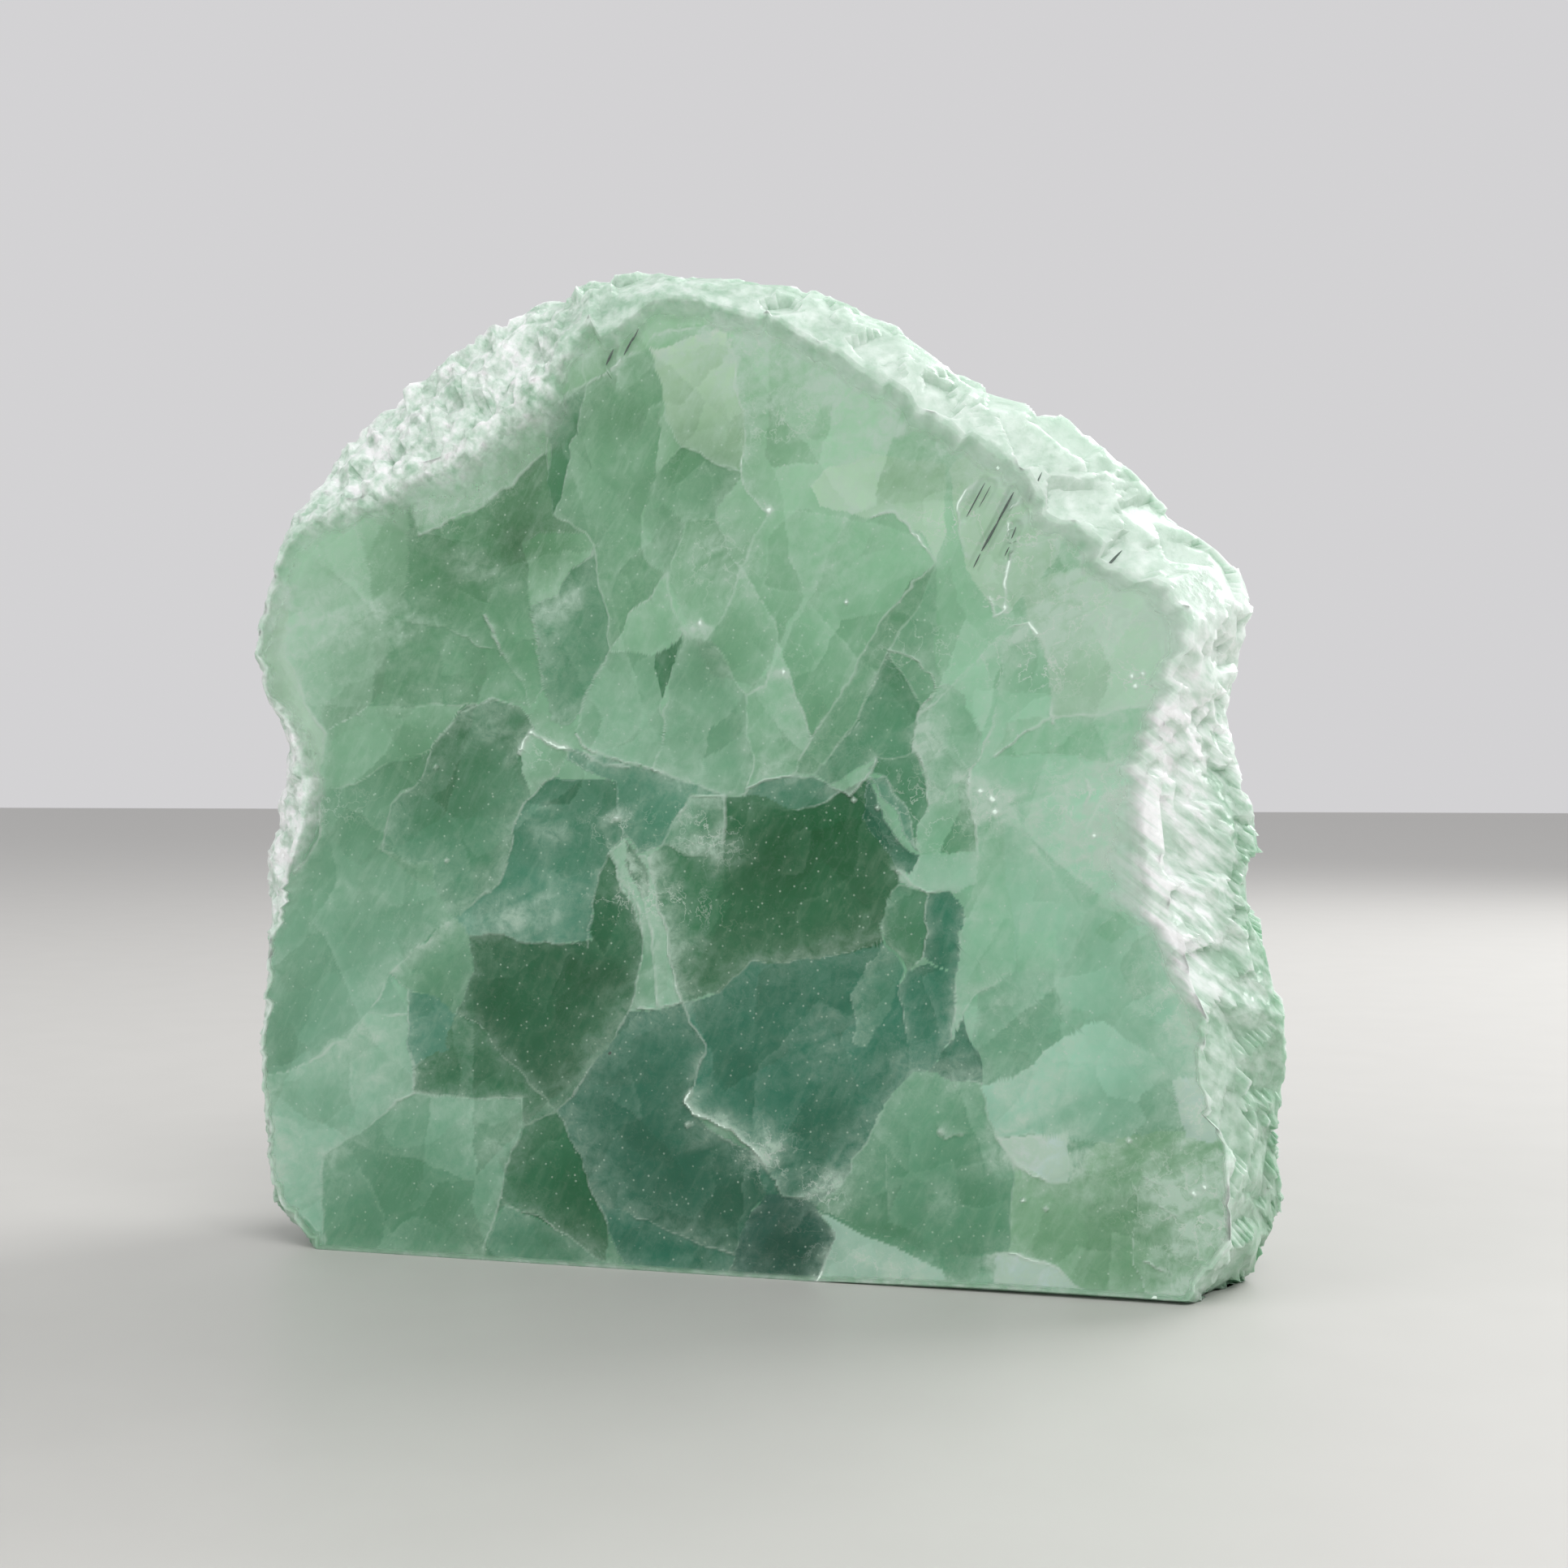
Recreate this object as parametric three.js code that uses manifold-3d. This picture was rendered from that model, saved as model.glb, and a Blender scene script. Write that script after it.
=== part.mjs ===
// Fluorite freeform: a standing slab of green fluorite.
// One polished face, a sawn base, and a raw broken rim, flanks and back whose
// ledges are the beds of cleavage blocks that have broken away.
// Millimetres, +Z up, origin under the middle of the stone.

import * as THREE from 'three';
import { mergeVertices } from 'three/addons/utils/BufferGeometryUtils.js';
import Module from 'manifold-3d';

// ---- driving dimensions -------------------------------------------------

const POLISHED_FACE_Y = -19;
const BACK_Y = 19;
const SAWN_BASE_Z = 0;
const HEART = new THREE.Vector3(0.7, 0, 43);
const SAW_BLOCK = 400;

// Rim of the stone, seen square to the polished face, clockwise from the
// lower left corner: x, z, width of the raw bevel between the polished face
// and the widest line, and the y of that widest line.
const RIM = [
  [-39.9, -4.0, 1.5, -16.5],
  [-42.9, 0.4, 1.6, -16.5],
  [-46.2, 3.6, 1.6, -16.5],
  [-47.1, 8.4, 1.4, -16.5],
  [-47.7, 18.9, 1.2, -16.5],
  [-46.9, 27.2, 1.2, -16.5],
  [-47.9, 33.0, 3.2, -16.0],
  [-48.3, 36.5, 4.2, -15.5],
  [-46.8, 40.5, 4.2, -15.5],
  [-46.5, 44.8, 3.2, -16.0],
  [-45.4, 47.9, 2.0, -16.5],
  [-47.2, 53.0, 1.2, -16.5],
  [-48.4, 57.0, 1.2, -16.5],
  [-47.3, 61.2, 1.2, -16.5],
  [-45.6, 67.0, 1.4, -16.5],
  [-44.5, 70.0, 2.2, -16.0],
  [-43.3, 73.4, 4.6, -14.5],
  [-39.6, 77.7, 7.4, -14.0],
  [-34.3, 82.1, 9.2, -14.0],
  [-27.3, 86.4, 9.6, -14.0],
  [-20.8, 89.5, 7.6, -14.0],
  [-16.9, 90.1, 4.4, -15.0],
  [-15.2, 91.2, 3.2, -15.0],
  [-8.9, 91.5, 3.0, -15.0],
  [-0.6, 90.2, 2.6, -15.0],
  [6.2, 88.9, 3.6, -15.0],
  [10.7, 86.7, 4.2, -15.0],
  [14.4, 84.9, 4.6, -15.0],
  [17.4, 82.2, 3.2, -16.0],
  [20.3, 80.4, 4.2, -14.5],
  [23.5, 79.2, 5.0, -14.0],
  [28.9, 76.8, 5.6, -14.0],
  [34.0, 72.3, 6.0, -14.0],
  [40.3, 65.7, 6.0, -13.0],
  [44.2, 62.8, 5.2, -11.0],
  [45.3, 59.3, 4.6, -11.0],
  [43.8, 52.1, 4.2, -11.0],
  [43.4, 48.2, 5.2, -11.0],
  [44.4, 44.7, 7.0, -11.0],
  [45.8, 40.0, 8.2, -11.0],
  [46.8, 33.5, 8.6, -11.0],
  [48.1, 27.0, 8.4, -11.0],
  [48.4, 20.5, 7.0, -11.0],
  [47.5, 14.0, 5.6, -11.0],
  [48.0, 7.0, 5.2, -9.0],
  [47.7, 2.0, 5.4, -6.0],
  [44.2, -4.0, 6.0, -4.0],
];

// Section of the stone from the edge of the polished face to the middle of
// the back. "inward" runs from the rim (0) to the heart (1) and counts in
// bevel widths in front of the widest line; "deep" runs from the polished
// face (-1) through the widest line (0) to the back (1).
const SECTION = [
  { inward: 1.0, deep: -1.0 },
  { inward: 0.36, deep: -0.52 },
  { inward: 0.0, deep: 0.0 },
  { inward: 0.015, deep: 0.34 },
  { inward: 0.075, deep: 0.68 },
  { inward: 0.24, deep: 0.9 },
  { inward: 0.6, deep: 1.0 },
  { inward: 1.0, deep: 1.02 },
];
const WIDEST_STATION = 2;
const LAST_STATION = SECTION.length - 1;

// Large cleavage planes that trim the back: outward direction, and how far
// from the heart of the stone each plane lies.
const BACK_CLEAVAGES = [
  { outward: [0.12, 0.86, 0.5], distance: 22.5 },
  { outward: [-0.66, 0.74, 0.1], distance: 31.5 },
  { outward: [0.7, 0.7, 0.16], distance: 33.5 },
  { outward: [-0.22, 0.93, -0.28], distance: 19.5 },
  { outward: [0.34, 0.9, -0.27], distance: 21.0 },
  { outward: [-0.3, 0.55, 0.78], distance: 37.0 },
  { outward: [0.52, 0.5, 0.7], distance: 38.5 },
  { outward: [-0.5, 0.62, -0.6], distance: 43.0 },
  { outward: [0.62, 0.58, -0.52], distance: 45.0 },
];

// Blocks that have broken away, by where they sat: how many, which share of
// the way round the rim, between which stations of the section, how wide,
// how deep their beds lie, and how far the beds lean.
const BLOCK_HEIGHT = 20;
const BLOCK_SETS = {
  bevel: {
    count: 84,
    round: [0, 1],
    stations: [0.1, 1.9],
    width: [3, 7],
    depth: [0.3, 0.9],
    lean: 0.3,
    seed: 11,
  },
  rightSide: {
    count: 36,
    round: [0.6, 0.73],
    stations: [0.2, 1.9],
    width: [3, 8],
    depth: [0.5, 1.2],
    lean: 0.3,
    seed: 85,
  },
  flank: {
    count: 90,
    round: [0, 1],
    stations: [2.5, 4.6],
    width: [6, 15],
    depth: [0.5, 2.0],
    lean: 0.2,
    seed: 31,
  },
  back: {
    count: 104,
    round: [0, 1],
    stations: [4.4, 6.95],
    width: [7, 20],
    depth: [0.5, 2.2],
    lean: 0.14,
    seed: 47,
  },
  crust: {
    count: 50,
    round: [0.24, 0.35],
    stations: [0.1, 1.9],
    width: [2, 4],
    depth: [0.5, 1.3],
    lean: 0.35,
    seed: 62,
  },
};
const THIN_BEVEL = 2.0;

// ---- smooth form of the stone -------------------------------------------

const rimLengths = RIM.map((corner, index) => {
  const next = RIM[(index + 1) % RIM.length];
  return Math.hypot(next[0] - corner[0], next[1] - corner[1]);
});
const rimTotal = rimLengths.reduce((sum, length) => sum + length, 0);

// x, z, bevel and widest y at a share (0 to 1) of the way round the rim.
function rimAt(share) {
  let left = (share - Math.floor(share)) * rimTotal;
  let index = 0;
  while (left > rimLengths[index]) {
    left -= rimLengths[index];
    index += 1;
  }
  const along = left / rimLengths[index];
  const next = RIM[(index + 1) % RIM.length];
  return RIM[index].map((value, part) => value + (next[part] - value) * along);
}

// The point of the smooth stone at a place of the rim and a station of the
// section; a station may fall between two stations.
function stonePoint([x, z, bevel, widestY], station) {
  const first = Math.min(Math.floor(station), LAST_STATION - 1);
  const along = station - first;
  const inward = THREE.MathUtils.lerp(SECTION[first].inward, SECTION[first + 1].inward, along);
  const deep = THREE.MathUtils.lerp(SECTION[first].deep, SECTION[first + 1].deep, along);
  const inFront = station < WIDEST_STATION;
  const reach = Math.hypot(x - HEART.x, z - HEART.z);
  const share = inFront ? inward * bevel / reach : inward;
  const target = inFront ? POLISHED_FACE_Y : BACK_Y;
  return new THREE.Vector3(
    THREE.MathUtils.lerp(x, HEART.x, share),
    THREE.MathUtils.lerp(widestY, target, Math.abs(deep)),
    THREE.MathUtils.lerp(z, HEART.z, share),
  );
}

// The same point, trimmed towards the heart by the large back cleavages.
function cleavedPoint(place, station) {
  const fromHeart = stonePoint(place, station).sub(HEART);
  let kept = 1;
  BACK_CLEAVAGES.forEach((plane) => {
    const reach = new THREE.Vector3(...plane.outward).normalize().dot(fromHeart);
    if (reach > plane.distance) {
      kept = Math.min(kept, plane.distance / reach);
    }
  });
  return HEART.clone().addScaledVector(fromHeart, kept);
}

function smoothStone() {
  const positions = [];
  const faces = [];
  const rows = LAST_STATION;
  RIM.forEach((corner) => {
    for (let station = 0; station < rows; station += 1) {
      positions.push(...stonePoint(corner, station).toArray());
    }
  });
  const front = RIM.length * rows;
  const back = front + 1;
  positions.push(HEART.x, POLISHED_FACE_Y, HEART.z);
  positions.push(...stonePoint(RIM[0], LAST_STATION).toArray());
  RIM.forEach((corner, index) => {
    const here = index * rows;
    const there = ((index + 1) % RIM.length) * rows;
    faces.push(front, there, here);
    for (let station = 0; station < rows - 1; station += 1) {
      faces.push(here + station, there + station, there + station + 1);
      faces.push(here + station, there + station + 1, here + station + 1);
    }
    faces.push(here + rows - 1, there + rows - 1, back);
  });
  const geometry = new THREE.BufferGeometry();
  geometry.setAttribute('position', new THREE.Float32BufferAttribute(positions, 3));
  geometry.setIndex(faces);
  return geometry;
}

// ---- cuts ---------------------------------------------------------------

// A block with its bed on a point, standing outward from it.
function blockOn(bed, outward, turn, width, length, height) {
  const block = new THREE.BoxGeometry(width, length, height);
  block.translate(0, 0, height / 2);
  block.rotateZ(turn);
  const up = new THREE.Vector3(0, 0, 1);
  block.applyQuaternion(new THREE.Quaternion().setFromUnitVectors(up, outward));
  block.translate(bed.x, bed.y, bed.z);
  return block;
}

// The block that the stone keeps: behind the lap's plane, above the saw's.
function keptBlock() {
  const block = new THREE.BoxGeometry(SAW_BLOCK, SAW_BLOCK, SAW_BLOCK);
  block.translate(0, POLISHED_FACE_Y + SAW_BLOCK / 2, SAWN_BASE_Z + SAW_BLOCK / 2);
  return block;
}

function backCleavageBlocks() {
  return BACK_CLEAVAGES.map((plane) => {
    const outward = new THREE.Vector3(...plane.outward).normalize();
    const bed = HEART.clone().addScaledVector(outward, plane.distance);
    return blockOn(bed, outward, 0, SAW_BLOCK, SAW_BLOCK, SAW_BLOCK);
  });
}

// A repeatable number from 0 to 1 for each whole number and seed.
function chance(number, seed) {
  const value = Math.sin(number * 127.1 + seed * 311.7) * 43758.5453;
  return value - Math.floor(value);
}

// Where the smooth stone faces at a place of the rim and a station.
function outwardAt(share, station) {
  const step = 0.005;
  const here = cleavedPoint(rimAt(share), station);
  const round = cleavedPoint(rimAt(share + step), station).sub(here);
  const back = cleavedPoint(rimAt(share), station + step).sub(here);
  return round.cross(back).normalize();
}

function brokenBlocks(set) {
  const blocks = [];
  for (let index = 0; index < set.count; index += 1) {
    const pick = (part) => chance(index, set.seed + part);
    const share = THREE.MathUtils.lerp(...set.round, (index + pick(0)) / set.count);
    const station = THREE.MathUtils.lerp(...set.stations, pick(1));
    const place = rimAt(share);
    const bed = cleavedPoint(place, station);
    const thinBevel = station < WIDEST_STATION && place[2] < THIN_BEVEL;
    if (!thinBevel && bed.z > SAWN_BASE_Z) {
      const width = THREE.MathUtils.lerp(...set.width, pick(2));
      const length = THREE.MathUtils.lerp(...set.width, pick(3));
      const depth = THREE.MathUtils.lerp(...set.depth, pick(4));
      const lean = new THREE.Vector3(pick(5) - 0.5, pick(6) - 0.5, pick(7) - 0.5);
      const outward = outwardAt(share, station).addScaledVector(lean, 2 * set.lean).normalize();
      bed.addScaledVector(outward, -depth);
      blocks.push(blockOn(bed, outward, pick(8) * Math.PI, width, length, BLOCK_HEIGHT));
    }
  }
  return blocks;
}

// ---- solids -------------------------------------------------------------

const wasm = await Module();
wasm.setup();

function toSolid(geometry) {
  const bare = geometry.clone();
  bare.deleteAttribute('normal');
  bare.deleteAttribute('uv');
  const merged = mergeVertices(bare, 1e-4);
  return new wasm.Manifold(new wasm.Mesh({
    numProp: 3,
    vertProperties: new Float32Array(merged.getAttribute('position').array),
    triVerts: new Uint32Array(merged.getIndex().array),
  }));
}

function toGeometry(solid) {
  const mesh = solid.getMesh();
  const geometry = new THREE.BufferGeometry();
  geometry.setAttribute('position', new THREE.BufferAttribute(mesh.vertProperties, 3));
  geometry.setIndex(new THREE.BufferAttribute(mesh.triVerts, 1));
  geometry.computeVertexNormals();
  return geometry;
}

function brokenStone() {
  let stone = toSolid(smoothStone()).intersect(toSolid(keptBlock()));
  const cuts = [...backCleavageBlocks(), ...Object.values(BLOCK_SETS).flatMap(brokenBlocks)];
  cuts.forEach((cut) => {
    stone = stone.subtract(toSolid(cut));
  });
  return stone;
}

// ---- part ---------------------------------------------------------------

const fluorite = new THREE.MeshStandardMaterial({
  color: 0x7fae90,
  roughness: 0.12,
  metalness: 0,
  flatShading: true,
});

const part = new THREE.Group();
const fluoriteFreeform = new THREE.Mesh(toGeometry(brokenStone()), fluorite);
fluoriteFreeform.name = 'fluorite_freeform';
part.add(fluoriteFreeform);

export default part;
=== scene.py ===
# %% [markdown]
# # A fluorite freeform
# A freeform is a lump of raw crystal that was sawn flat underneath and polished on
# one side, and left broken everywhere else. This lesson builds the looks of one:
# the clear green skin of the stone, with its polished face and its raw rim, and
# behind the face the healed fractures that part it into grains.
# The solid was already packed by the CAD step, so the lesson starts from it.

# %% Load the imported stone
import math
from collections import namedtuple

import bpy
import numpy as np
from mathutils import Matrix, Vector


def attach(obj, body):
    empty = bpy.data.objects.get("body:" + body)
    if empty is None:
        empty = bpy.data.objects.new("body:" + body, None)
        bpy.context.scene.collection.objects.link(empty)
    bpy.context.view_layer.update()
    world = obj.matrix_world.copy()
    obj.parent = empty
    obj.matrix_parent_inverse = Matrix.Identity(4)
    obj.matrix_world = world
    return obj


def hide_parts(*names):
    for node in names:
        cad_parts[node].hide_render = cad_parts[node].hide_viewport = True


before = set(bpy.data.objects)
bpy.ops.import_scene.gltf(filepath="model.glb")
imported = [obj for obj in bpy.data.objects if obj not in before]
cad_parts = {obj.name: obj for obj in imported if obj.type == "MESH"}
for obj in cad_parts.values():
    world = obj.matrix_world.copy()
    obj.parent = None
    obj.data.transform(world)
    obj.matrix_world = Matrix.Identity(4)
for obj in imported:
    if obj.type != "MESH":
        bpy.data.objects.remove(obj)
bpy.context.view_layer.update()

MM = 0.001

# %% [markdown]
# ## The camera
# The stone is seen from about its own mid height, a little from the right, through
# a lens that is slightly longer than normal. A level camera keeps the upright edges
# upright, as a product photographer would.

# %% Place the camera
SENSOR = 36.0
LENS = 45.65
CAMERA_HEIGHT = 43.9
CAMERA_DISTANCE = 176.0
CAMERA_TURN = math.radians(14.7)
AIM_X = 5.0
POLISHED_FACE_Y = -19.0

camera_data = bpy.data.cameras.new("camera")
camera_data.sensor_width = SENSOR
camera_data.lens = LENS
camera_data.clip_start = 0.005
camera = bpy.data.objects.new("camera", camera_data)
bpy.context.scene.collection.objects.link(camera)
camera.rotation_euler = (math.radians(90), 0.0, CAMERA_TURN)
camera.location = (
    (AIM_X + CAMERA_DISTANCE * math.sin(CAMERA_TURN)) * MM,
    (POLISHED_FACE_Y - CAMERA_DISTANCE * math.cos(CAMERA_TURN)) * MM,
    CAMERA_HEIGHT * MM,
)
bpy.context.scene.camera = camera

# %% [markdown]
# ## Colour management
# The plain sRGB transform keeps a picked colour as it was picked. The filmic default
# would grey the greens of the crystal.

# %% Show colours as they are
bpy.context.scene.view_settings.view_transform = "Standard"

# %% [markdown]
# ## Colours and nodes
# Colours are written as the sRGB hex values that a colour picker shows, and one
# function turns them into the linear values that the renderer works with. One more
# function adds a shader node, and a few short ones name the kinds used most.

# %% Colour and node helpers
def linear(hex_colour):
    """sRGB hex to linear: v / 12.92 below 0.04045, else ((v + 0.055) / 1.055) ** 2.4."""
    srgb = np.array([int(hex_colour[i:i + 2], 16) / 255 for i in (1, 3, 5)])
    return np.where(srgb <= 0.04045, srgb / 12.92, ((srgb + 0.055) / 1.055) ** 2.4)


def rgba(hex_colour):
    return (*linear(hex_colour), 1.0)


def add_node(material, kind, inputs=None, **settings):
    """Adds a node; inputs, keyed by name or number, are linked if sockets and set if values."""
    node = material.node_tree.nodes.new(kind)
    for name, setting in settings.items():
        setattr(node, name, setting)
    for name, value in (inputs or {}).items():
        if isinstance(value, bpy.types.NodeSocket):
            material.node_tree.links.new(value, node.inputs[name])
        else:
            node.inputs[name].default_value = value
    return node


def mixed(material, factor, first, second):
    """A blend of two colours, each a hex value or a socket."""
    first, second = (rgba(c) if isinstance(c, str) else c for c in (first, second))
    return add_node(material, "ShaderNodeMix", {0: factor, 6: first, 7: second},
                    data_type="RGBA").outputs[2]


def computed(material, operation, *inputs, clamp=False):
    """One step of arithmetic on numbers and sockets."""
    return add_node(material, "ShaderNodeMath", dict(enumerate(inputs)),
                    operation=operation, use_clamp=clamp).outputs[0]


def combined(material, operation, *inputs):
    """One step of arithmetic on vectors."""
    return add_node(material, "ShaderNodeVectorMath", dict(enumerate(inputs)),
                    operation=operation).outputs[0]


def ramped(material, value, low, high, to_low=0.0, to_high=1.0):
    """Carries low..high to to_low..to_high in a straight line, held at both ends."""
    return add_node(material, "ShaderNodeMapRange", {
        "Value": value, "From Min": low, "From Max": high, "To Min": to_low, "To Max": to_high,
    }).outputs["Result"]


def noise(material, place, scale, detail, roughness=0.5, distortion=0.0, dimensions="3D"):
    """A smooth random strength from 0 to 1, with so many repeats in each unit of place."""
    return add_node(material, "ShaderNodeTexNoise", {
        "Vector": place, "Scale": scale, "Detail": detail, "Roughness": roughness,
        "Distortion": distortion,
    }, noise_dimensions=dimensions).outputs["Fac"]


def kept(material, name, output="Fac"):
    """What the mesh keeps for each point under this name."""
    return add_node(material, "ShaderNodeAttribute", attribute_name=name).outputs[output]


def new_material(name):
    """An empty node material with its output node."""
    material = bpy.data.materials.new(name)
    material.use_nodes = True
    material.node_tree.nodes.clear()
    return material, material.node_tree.nodes.new("ShaderNodeOutputMaterial")

# %% [markdown]
# ## The floor and the light
# The stone stands on a plain pale table. A clear crystal shows what is around it, so
# the light comes from large soft panels and a pale surround, never from small lamps.

# %% Floor, surround and soft panels
FLOOR_SIZE = 3.0
LIT_POINT = (0.0, 0.0, 0.045)

floor_mesh = bpy.data.meshes.new("floor")
floor_mesh.from_pydata(
    [(-FLOOR_SIZE, -FLOOR_SIZE, 0), (FLOOR_SIZE, -FLOOR_SIZE, 0),
     (FLOOR_SIZE, FLOOR_SIZE, 0), (-FLOOR_SIZE, FLOOR_SIZE, 0)],
    [], [(0, 1, 2, 3)],
)
floor = bpy.data.objects.new("floor", floor_mesh)
bpy.context.scene.collection.objects.link(floor)

satin_laminate, output = new_material("satin_laminate")
place = add_node(satin_laminate, "ShaderNodeTexCoord").outputs["Object"]
# Printed paper pressed under melamine resin, with a satin plate.
print_dots = noise(satin_laminate, place, 90.0, 3.0)
laminate = add_node(satin_laminate, "ShaderNodeBsdfPrincipled", {
    "Roughness": 0.45,
    "Base Color": mixed(satin_laminate, print_dots, "#B7B6B2", "#BCBBB7"),
})
satin_laminate.node_tree.links.new(laminate.outputs[0], output.inputs["Surface"])
floor_mesh.materials.append(satin_laminate)

world = bpy.data.worlds.new("studio")
bpy.context.scene.world = world
world.use_nodes = True
world.node_tree.nodes["Background"].inputs["Color"].default_value = rgba("#E9E8EA")
world.node_tree.nodes["Background"].inputs["Strength"].default_value = 0.8


def soft_panel(name, place, size, watts):
    """A square area light at a place, facing the middle of the stone; metres."""
    panel = bpy.data.lights.new(name, "AREA")
    panel.shape = "RECTANGLE"
    panel.size = panel.size_y = size
    panel.energy = watts
    lamp = bpy.data.objects.new(name, panel)
    lamp.location = place
    lamp.rotation_euler = (Vector(LIT_POINT) - Vector(place)).to_track_quat("-Z", "Y").to_euler()
    bpy.context.scene.collection.objects.link(lamp)


soft_panel("key_panel", (0.5, -0.62, 0.95), 0.7, 6.6)
soft_panel("rim_panel", (0.35, 0.38, 0.42), 0.4, 3.4)
soft_panel("fill_panel", (-0.6, -0.5, 0.5), 0.5, 1.4)

# %% [markdown]
# ## The broken outline
# The skin of the stone is one closed surface: a profile carried round the rim. The
# rim is a chain of corners seen square to the polished face, and the profile runs
# from the face over a raw bevel to the widest line and on to the middle of the back.
# The same corners and profile make the CAD solid, so both have one shape.

# %% Rim, profile and large cleavages, in millimetres
HEART = np.array([0.7, 0.0, 43.0])
BACK_Y = 19.0
# x, z, width of the raw bevel, y of the widest line.
RIM = np.array([
    [-39.9, -4.0, 1.5, -16.5], [-42.9, 0.4, 1.6, -16.5], [-46.2, 3.6, 1.6, -16.5],
    [-47.1, 8.4, 1.4, -16.5], [-47.7, 18.9, 1.2, -16.5], [-46.9, 27.2, 1.2, -16.5],
    [-47.9, 33.0, 3.2, -16.0], [-48.3, 36.5, 4.2, -15.5], [-46.8, 40.5, 4.2, -15.5],
    [-46.5, 44.8, 3.2, -16.0], [-45.4, 47.9, 2.0, -16.5], [-47.2, 53.0, 1.2, -16.5],
    [-48.4, 57.0, 1.2, -16.5], [-47.3, 61.2, 1.2, -16.5], [-45.6, 67.0, 1.4, -16.5],
    [-44.5, 70.0, 2.2, -16.0], [-43.3, 73.4, 4.6, -14.5], [-39.6, 77.7, 7.4, -14.0],
    [-34.3, 82.1, 9.2, -14.0], [-27.3, 86.4, 9.6, -14.0], [-20.8, 89.5, 7.6, -14.0],
    [-16.9, 90.1, 4.4, -15.0], [-15.2, 91.2, 3.2, -15.0], [-8.9, 91.5, 3.0, -15.0],
    [-0.6, 90.2, 2.6, -15.0], [6.2, 88.9, 3.6, -15.0], [10.7, 86.7, 4.2, -15.0],
    [14.4, 84.9, 4.6, -15.0], [17.4, 82.2, 3.2, -16.0], [20.3, 80.4, 4.2, -14.5],
    [23.5, 79.2, 5.0, -14.0], [28.9, 76.8, 5.6, -14.0], [34.0, 72.3, 6.0, -14.0],
    [40.3, 65.7, 6.0, -13.0], [44.2, 62.8, 5.2, -11.0], [45.3, 59.3, 4.6, -11.0],
    [43.8, 52.1, 4.2, -11.0], [43.4, 48.2, 5.2, -11.0], [44.4, 44.7, 7.0, -11.0],
    [45.8, 40.0, 8.2, -11.0], [46.8, 33.5, 8.6, -11.0], [48.1, 27.0, 8.4, -11.0],
    [48.4, 20.5, 7.0, -11.0], [47.5, 14.0, 5.6, -11.0], [48.0, 7.0, 5.2, -9.0],
    [47.7, 2.0, 5.4, -6.0], [44.2, -4.0, 6.0, -4.0],
])
# Share of the way inwards and of the way back at each station of the profile.
SECTION = np.array([
    [1.0, -1.0], [0.36, -0.52], [0.0, 0.0], [0.015, 0.34],
    [0.075, 0.68], [0.24, 0.9], [0.6, 1.0], [1.0, 1.02],
])
WIDEST_STATION = 2
LAST_STATION = len(SECTION) - 1
# Outward direction and distance from the heart of each large cleavage.
CLEAVAGES = np.array([
    [0.12, 0.86, 0.5, 22.5], [-0.66, 0.74, 0.1, 31.5], [0.7, 0.7, 0.16, 33.5],
    [-0.22, 0.93, -0.28, 19.5], [0.34, 0.9, -0.27, 21.0], [-0.3, 0.55, 0.78, 37.0],
    [0.52, 0.5, 0.7, 38.5], [-0.5, 0.62, -0.6, 43.0], [0.62, 0.58, -0.52, 45.0],
])


def rim_at(share):
    """Each of the rim's four columns, interpolated by length round the closed chain."""
    ring = np.vstack([RIM, RIM[:1]])
    steps = np.hypot(np.diff(ring[:, 0]), np.diff(ring[:, 1]))
    length = np.concatenate([[0.0], np.cumsum(steps)])
    place = (np.asarray(share) % 1.0) * length[-1]
    return np.stack([np.interp(place, length, column) for column in ring.T], axis=-1)


def smooth_stone(share, station):
    """Rim point moved inwards and back by the profile, then pulled in to the cleavages.

    In front of the widest line the way inwards counts in bevel widths; behind it, in
    shares of the way to the heart. A point outside a cleavage plane slides along its
    ray from the heart until it lies on that plane.
    """
    share, station = np.broadcast_arrays(np.asarray(share, float), np.asarray(station, float))
    x, z, bevel, widest_y = np.moveaxis(rim_at(share), -1, 0)
    stations = np.arange(LAST_STATION + 1)
    inward = np.interp(station, stations, SECTION[:, 0])
    deep = np.interp(station, stations, SECTION[:, 1])
    front = station < WIDEST_STATION
    reach = np.hypot(x - HEART[0], z - HEART[2])
    pull = np.where(front, inward * bevel / reach, inward)
    target = np.where(front, POLISHED_FACE_Y, BACK_Y)
    points = np.stack([
        x + (HEART[0] - x) * pull,
        widest_y + (target - widest_y) * np.abs(deep),
        z + (HEART[2] - z) * pull,
    ], axis=-1)
    from_heart = points - HEART
    outward = CLEAVAGES[:, :3] / np.linalg.norm(CLEAVAGES[:, :3], axis=1, keepdims=True)
    beyond = from_heart @ outward.T
    kept = np.where(beyond > CLEAVAGES[:, 3], CLEAVAGES[:, 3] / np.maximum(beyond, 1e-9), 1.0)
    return HEART + from_heart * kept.min(axis=-1)[..., None]

# %% [markdown]
# ## Cleavage beds
# Fluorite breaks in flat steps. Each step is the bed of a block that has gone, so a
# block is a box with its bed just under the surface, leaning a little. The large
# blocks repeat those of the CAD solid, with the same repeatable chance numbers, and
# smaller ones carve the ledges, hackles and sugary crust that only the eye needs.

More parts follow.
